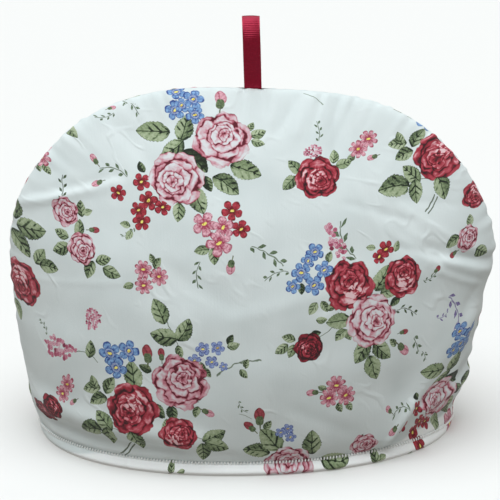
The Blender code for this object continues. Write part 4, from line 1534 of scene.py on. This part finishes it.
# %% Printed twig
def printed_twig():
    """Stem: a line about 0.07 wide along v = bend (1 - u^2); leaf: a lens of 0.45 by 0.20 in
    each cell, half width 0.10 (1 - |t / 0.225|^1.5) at t from its middle."""
    tree, add, u, v, seed, key, waves, fleck = new_motif("printed_twig")
    bend = add("Math.FRACT", add("Math.MULTIPLY", seed, 0.41))
    bend = add("MapRange", bend, 0.0, 1.0, -0.36, 0.36)
    long = add("Math.SUBTRACT", 1.0, add("Math.MULTIPLY", u, u))
    middle = add("Math.MULTIPLY_ADD", bend, long, add("Math.MULTIPLY_ADD", waves[0], 0.20, -0.10))
    off = add("Math.SUBTRACT", v, middle)
    side = add("Math.ABSOLUTE", off)
    pair = add("Math.COMPARE", key, 0.7, 0.08)
    line = add("Math.ABSOLUTE", add("Math.SUBTRACT", side, add("Math.MULTIPLY", pair, 0.20)))
    stem = add("MapRange", add("Math.MULTIPLY_ADD", pair, -0.04, line), 0.045, 0.02, 0.0, 0.9)
    stem = add("Math.MULTIPLY", stem, add("MapRange", add("Math.ABSOLUTE", u), 1.0, 0.95, 0.0, 1.0))
    cell = add("Math.MULTIPLY_ADD", u, 3.0, seed)
    odd = add("Math.FRACT", add("Math.MULTIPLY", add("Math.FLOOR", cell), 0.5))
    flip = add("Math.SIGN", add("Math.SUBTRACT", odd, 0.25))
    along = add("Math.MULTIPLY_ADD", add("Math.FRACT", cell), 0.3333, -0.1667)
    away = add("Math.MULTIPLY_ADD", add("Math.MULTIPLY", off, flip), 1.0, -0.19)
    turned = add("CombineXYZ", along, away, 0.0)
    turned = add("VectorRotate", turned, (0.0, 0.0, 0.0), (0.0, 0.0, 1.0), 0.9)
    tx, ty, _ = add("SeparateXYZ", turned, out=None)
    share = add("Math.DIVIDE", add("Math.ABSOLUTE", ty), 0.225)
    slim = add("Math.SUBTRACT", 1.0, add("Math.POWER", share, 1.5))
    slim = add("Math.SUBTRACT", add("Math.MULTIPLY", slim, 0.10), add("Math.ABSOLUTE", tx))
    leaf = add("MapRange", slim, 0.0, 0.012, 0.0, 1.0)
    plain = add("Math.MAXIMUM", add("Math.COMPARE", key, 0.3, 0.08), pair)
    leaf = add("Math.MULTIPLY", leaf, add("Math.SUBTRACT", 1.0, plain))
    cover = add("Math.MAXIMUM", stem, leaf)
    cut = add("MapRange", add("Math.ABSOLUTE", u), 1.0, 0.95, 0.0, 1.0)
    cover = add("Math.MULTIPLY", cover, cut)
    green = add("MixRGB", fleck, linear("#34482f"), linear("#74886a"))
    violet = add("MixRGB", fleck, linear("#4f4677"), linear("#9a90be"))
    colour = add("MixRGB", add("Math.GREATER_THAN", key, 0.8), green, violet)
    dark = add("Math.COMPARE", key, 0.6, 0.15)
    dark_green = add("MixRGB", fleck, linear("#1f2c1e"), linear("#5d6f50"))
    colour = add("MixRGB", dark, colour, dark_green)
    add("NodeGroupOutput", colour, cover)
    return tree


keep_motif("sprig", printed_twig())

# %% [markdown]
# A spray of tiny flowers: dots crowded inside a tapered lens, with darker specks. Voronoi
# cells give one dot to a cell, each with its own shade, and a dot is drawn whole or not at
# all, so the edge of the spray is bumpy.

# %% Printed spray
CELLS = 5.6
SPRAY_PAINTS = ((0, "#5e1a30"), (0.16, "#9c4460"), (0.40, "#ba6c83"), (0.68, "#cb93a4"),
                (0.88, "#d8b4bf"))


def printed_spray():
    """Dots that reach 0.52 to 0.60 of a cell from their middles, kept where the middle lies
    inside u^2 + (v / (girth (0.85 + 0.35 u)))^2 < 0.92^2."""
    tree, add, u, v, seed, key, _, fleck = new_motif("printed_spray")
    offset = add("CombineXYZ", add("Math.MULTIPLY", seed, 3.7), 0.0, 0.0)
    place = add("CombineXYZ", u, v, 0.0)
    place = add("VectorMath.MULTIPLY_ADD", place, (CELLS, CELLS, 0.0), offset)
    cells = add("TexVoronoi", place, out=None, voronoi_dimensions="2D",
                named={"Scale": 1.0, "Randomness": 0.85})
    ragged = add("Math.MULTIPLY_ADD", fleck, 0.16, add("Math.SUBTRACT", cells[0], 0.08))
    dot = add("MapRange", ragged, 0.60, 0.52, 0.0, 1.0)
    girth = add("MapRange", key, 0.0, 1.0, 0.20, 1.0)
    middle = add("VectorMath.SUBTRACT", cells[2], offset)
    middle = add("VectorMath.SCALE", middle, None, None, 1 / CELLS)
    along, aside, _ = add("SeparateXYZ", middle, out=None)
    half = add("Math.MULTIPLY", girth, add("Math.MULTIPLY_ADD", along, 0.35, 0.85))
    wide = add("Math.DIVIDE", aside, half)
    lens = add("VectorMath.LENGTH", add("CombineXYZ", along, wide, 0.0), out=1)
    edge = add("Math.LESS_THAN", lens, 0.92)
    pick = add("SeparateXYZ", cells[1], out=0)
    colour = add("ValToRGB", pick, stops=SPRAY_PAINTS)
    speck = add("MapRange", cells[0], 0.16, 0.08, 0.0, 0.8)
    colour = add("MixRGB", speck, colour, linear("#8a2440"))
    edged = add("MapRange", ragged, 0.34, 0.50, 0.0, 0.4)
    colour = add("MixRGB", edged, colour, linear("#a03c58"))
    add("NodeGroupOutput", colour, add("Math.MULTIPLY", dot, edge))
    return tree


keep_motif("spray", printed_spray())

# %% [markdown]
# Cloth finishes. Each cloth here has a colour and a bump that change over the surface, and
# a few values that do not, such as how rough it is. Those are set on the shader itself.

# %% Materials of cloth
def new_material(name):
    """An empty material, and the function that adds nodes to it."""
    material = bpy.data.materials.new(name)
    material.use_nodes = True
    material.node_tree.nodes.clear()
    return material, partial(node, material.node_tree)


def finish_shader(add, colour, normal, finish):
    """End a material: a shader with the colour and the bump linked and the rest set on it."""
    shader = add("BsdfPrincipled", named={"Base Color": colour, "Normal": normal})
    for socket, value in finish.items():
        shader.node.inputs[socket].default_value = value
    add("OutputMaterial", shader)


print("layers of print to paint:", len(LAYERS))

# %% [markdown]
# The printed cotton. A tea cosy's cover is a plain-woven furnishing cotton, printed and
# then washed soft: dull, with a faint sheen of fibre ends at a glancing angle. The print is
# drawn layer by layer over the cold white ground, and the roll of the hem is painted whiter,
# a painted highlight where it catches the light from above.

# %% Paint of the cotton
# Noises to the metre: 5 mm for the wander of the drawing, 1.6 mm flecks, 38 mm for wear.
WANDER, FLECK, WEAR = 190.0, 620.0, 26.0
# The hem's white is a painted highlight: the roll of the hem catches the light from above, so the
# cloth below the stitched line is painted whiter, fading in between the two heights.
GROUND_LOW, GROUND_HIGH, HEM_PAINTED_HIGHLIGHT = "#d0dada", "#d8e1e1", "#f3f7f7"
HEM_PAINTED_HIGHLIGHT_ENDS, HEM_PAINTED_HIGHLIGHT_FULL = 0.0085, 0.0065


def cotton_paint(add, cloth):
    """Ground mixed by the wear, painted whiter below the stitched line as a painted highlight
    of the hem roll, then each layer's motif by its cover. Gives the colour and the wear."""
    wander = add("TexNoise", cloth, 0.0, WANDER, 1.0, 0.5, out=1, noise_dimensions="3D")
    fleck = add("TexNoise", cloth, 0.0, FLECK, 2.0, 0.65, noise_dimensions="3D")
    fleck = add("MapRange", fleck, 0.3, 0.7, 0.0, 1.0)
    wear = add("TexNoise", cloth, 0.0, WEAR, 2.0, 0.5, noise_dimensions="3D")
    mottle = add("MapRange", wear, 0.35, 0.65, 0.0, 1.0)
    colour = add("MixRGB", mottle, linear(GROUND_LOW), linear(GROUND_HIGH))
    upward = add("SeparateXYZ", cloth, out=1)
    # Painted highlight: the ground is whitened below the stitched line of the hem.
    painted_highlight = add("MapRange", upward, HEM_PAINTED_HIGHLIGHT_ENDS, HEM_PAINTED_HIGHLIGHT_FULL, 0.0, 1.0)
    colour = add("MixRGB", painted_highlight, colour, linear(HEM_PAINTED_HIGHLIGHT))
    for name in LAYERS:
        place = add("Attribute", out=1, attribute_name=name)
        motif = MOTIFS[name.split("_")[0]]
        paint, cover = add("Group", place, wander, fleck, out=None, node_tree=motif)
        colour = add("MixRGB", cover, colour, paint)
    return colour, wear


print("border of the hem, mm:", HEM_PAINTED_HIGHLIGHT_FULL * 1000)

# %% [markdown]
# The weave. The threads of such a cotton are 0.3 mm apart, too fine to show, so they are
# drawn 0.9 mm apart, with thicker slubs here and there. Where the cloth is worn, shallow
# creases from folding and ironing cross it on the slant.

# %% Weave of the cotton
THREAD_PITCH = 0.0009
SLUBS = (900.0, 90.0, 1.0)  # to the metre, so 1.1 by 11 mm
CREASE_SLANT, CREASE_SPACING = 0.7, (26.0, 52.0, 1.0)  # 38 by 19 mm
COTTON_FINISH = {"Roughness": 0.88, "IOR": 1.5, "Specular IOR Level": 0.3,
                 "Sheen Weight": 0.12, "Sheen Roughness": 0.5}


def cotton_bump(add, cloth, wear):
    """Weave: sin * sin of the cloth's places, plus slubs; crease: a smooth ridge wherever a
    slanting noise is within 0.055 of its middle value, times the wear."""
    scaled = add("VectorMath.SCALE", cloth, None, None, 2 * np.pi / THREAD_PITCH)
    warp, weft, _ = add("SeparateXYZ", add("VectorMath.SINE", scaled), out=None)
    weave = add("Math.MULTIPLY", warp, weft)
    slubs = add("TexNoise", add("VectorMath.MULTIPLY", cloth, SLUBS), 0.0, 1.0, 1.0, 0.5)
    height = add("Math.MULTIPLY_ADD", slubs, 2.0, weave)
    woven = add("Bump", named={"Height": height, "Strength": 0.35, "Distance": 0.00012})
    slanting = add("VectorRotate", cloth, (0.0, 0.0, 0.0), (0.0, 0.0, 1.0), CREASE_SLANT)
    slanting = add("VectorMath.MULTIPLY", slanting, CREASE_SPACING)
    away = add("Math.SUBTRACT", add("TexNoise", slanting, 0.0, 1.0, 1.0, 0.5), 0.5)
    crease = add("MapRange", add("Math.ABSOLUTE", away), 0.0, 0.055, 1.0, 0.0,
                 interpolation_type="SMOOTHSTEP")
    crease = add("Math.MULTIPLY", crease, add("MapRange", wear, 0.50, 0.66, 0.0, 1.0))
    return add("Bump", named={"Height": crease, "Strength": 0.6, "Distance": 0.0006,
                              "Normal": woven})


def printed_cotton():
    """Both read the places on the flat cloth, so print and weave lie along the cloth."""
    material, add = new_material("printed_plain_woven_cotton")
    cloth = add("Attribute", out=1, attribute_name="cloth")
    colour, wear = cotton_paint(add, cloth)
    finish_shader(add, colour, cotton_bump(add, cloth, wear), COTTON_FINISH)
    return material


cotton = printed_cotton()
for piece in (front, back):
    piece.data.materials.append(cotton)
print("nodes in the cotton:", len(cotton.node_tree.nodes))

# %% [markdown]
# Sewing thread and grosgrain. The hem is sewn with white cotton thread, two strands
# twisted together. The ribbon is dyed rayon, whose fibres lie straight and so shine more
# than cotton; the ribs are in its mesh, and its warp is a fine line pattern along it.

# %% Thread and ribbon
THREAD_FINISH = {"Roughness": 0.8, "Specular IOR Level": 0.4, "Sheen Weight": 0.1,
                 "Sheen Roughness": 0.35}
RAYON_FINISH = {"Roughness": 0.26, "Specular IOR Level": 0.9, "Sheen Weight": 0.04,
                "Sheen Roughness": 0.35, "Sheen Tint": linear("#ff5f80"),
                "Specular Tint": linear("#ff5f80")}
STRANDS = 2500.0  # to the metre, so 0.4 mm
WARP = (300.0, 6000.0, 1.0)  # 3.3 mm along the ribbon by 0.17 mm across it


def fibre_material(name, low, high, scale, stretch, bump, finish):
    """Two close shades mixed by a noise, and a bump of the same noise; with a stretch the
    noise lies along the ribbon, and without one it is on the object's own coordinates."""
    material, add = new_material(name)
    if stretch:
        place = add("Attribute", out=1, attribute_name="cloth")
        place = add("VectorMath.MULTIPLY", place, stretch)
    else:
        place = add("TexCoord", out=3)
    noise = add("TexNoise", place, 0.0, scale, 2.0, 0.6)
    share = add("MapRange", noise, 0.35, 0.65, 0.0, 1.0)
    colour = add("MixRGB", share, linear(low), linear(high))
    bumpy = add("Bump", named={"Height": noise, "Strength": bump, "Distance": 0.0001})
    finish_shader(add, colour, bumpy, finish)
    return material


thread = fibre_material("twisted_cotton_thread", "#eef2f1", "#fafbfa", STRANDS, None, 0.3,
                        THREAD_FINISH)
grosgrain = fibre_material("woven_rayon_grosgrain", "#620414", "#820a22", 1.0, WARP, 0.2,
                           RAYON_FINISH)
front_stitches.data.materials.append(thread)
back_stitches.data.materials.append(thread)
loop.data.materials.append(grosgrain)
print("nodes in the thread and the ribbon:",
      len(thread.node_tree.nodes), len(grosgrain.node_tree.nodes))

# %% [markdown]
# The floor. The cosy stands on a pale matt table top. A white floor would fill the shade
# from below, so bounced light does not see it and meets the dim room instead.

# %% Floor
FLOOR_HALF = 4


def plain_floor():
    """A level square, its points on a small grid."""
    x, y = np.meshgrid(*[np.linspace(-FLOOR_HALF, FLOOR_HALF, 9)] * 2)
    points = np.stack([x, y, np.zeros_like(x)], axis=-1).reshape(-1, 3)
    made = mesh_object("table_top", points, shell_quads(*x.shape)[0])
    material = bpy.data.materials.new("matt_white_laminate")
    material.use_nodes = True
    shader = material.node_tree.nodes["Principled BSDF"]
    shader.inputs["Base Color"].default_value = linear("#dddddb")
    shader.inputs["Roughness"].default_value = 0.9
    made.data.materials.append(material)
    return made


floor = plain_floor()
floor.visible_diffuse = False
print("floor, metres across:", 2 * FLOOR_HALF)

# %% [markdown]
# The light. A large soft light from above leaves the crown bright, and the cloth that turns
# under towards the hem in shade. A sun with a very wide disc gives that evenly over the
# whole floor. A second one is a window in front: it only puts the shine on the ribbon and
# the cloth, and adds nothing to their own colour. The room fills the shade faintly.

# %% Light
def sun(name, energy, spread, tip, colour):
    """A far light: watts to the square metre, width of its disc and tip in degrees."""
    data = bpy.data.lights.new(name, "SUN")
    data.energy, data.angle = energy, np.radians(spread)
    data.color = linear(colour)[:3]
    made = bpy.data.objects.new(name, data)
    made.rotation_euler = np.radians(tip)
    scene.collection.objects.link(made)
    return made


world = bpy.data.worlds.new("soft_room_light")
world.use_nodes = True
room = world.node_tree.nodes["Background"]
room.inputs["Color"].default_value = linear("#fffaf4")
room.inputs["Strength"].default_value = 0.39
scene.world = world
lamp = sun("overhead_light", 3.25, 60, (9, -4, 0), "#f5fbff")
shine = sun("window_shine", 2.2, 30, (56, 0, -8), "#ffffff")
shine.visible_diffuse = False
print("light from above and from the window:", lamp.data.energy, round(shine.data.energy, 1))

# %% [markdown]
# Last, what each piece is. Every piece rides on the one body; the two panels and the
# ribbon stand for the plain solids of the frame.

# %% What each piece is
for piece, solid, slot in ((front, "front_panel", "printed_cotton"),
                           (back, "back_panel", "printed_cotton"),
                           (loop, "hanging_loop", "ribbon")):
    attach(piece, "root")
    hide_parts(solid)
for piece in (front_stitches, back_stitches):
    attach(piece, "root")
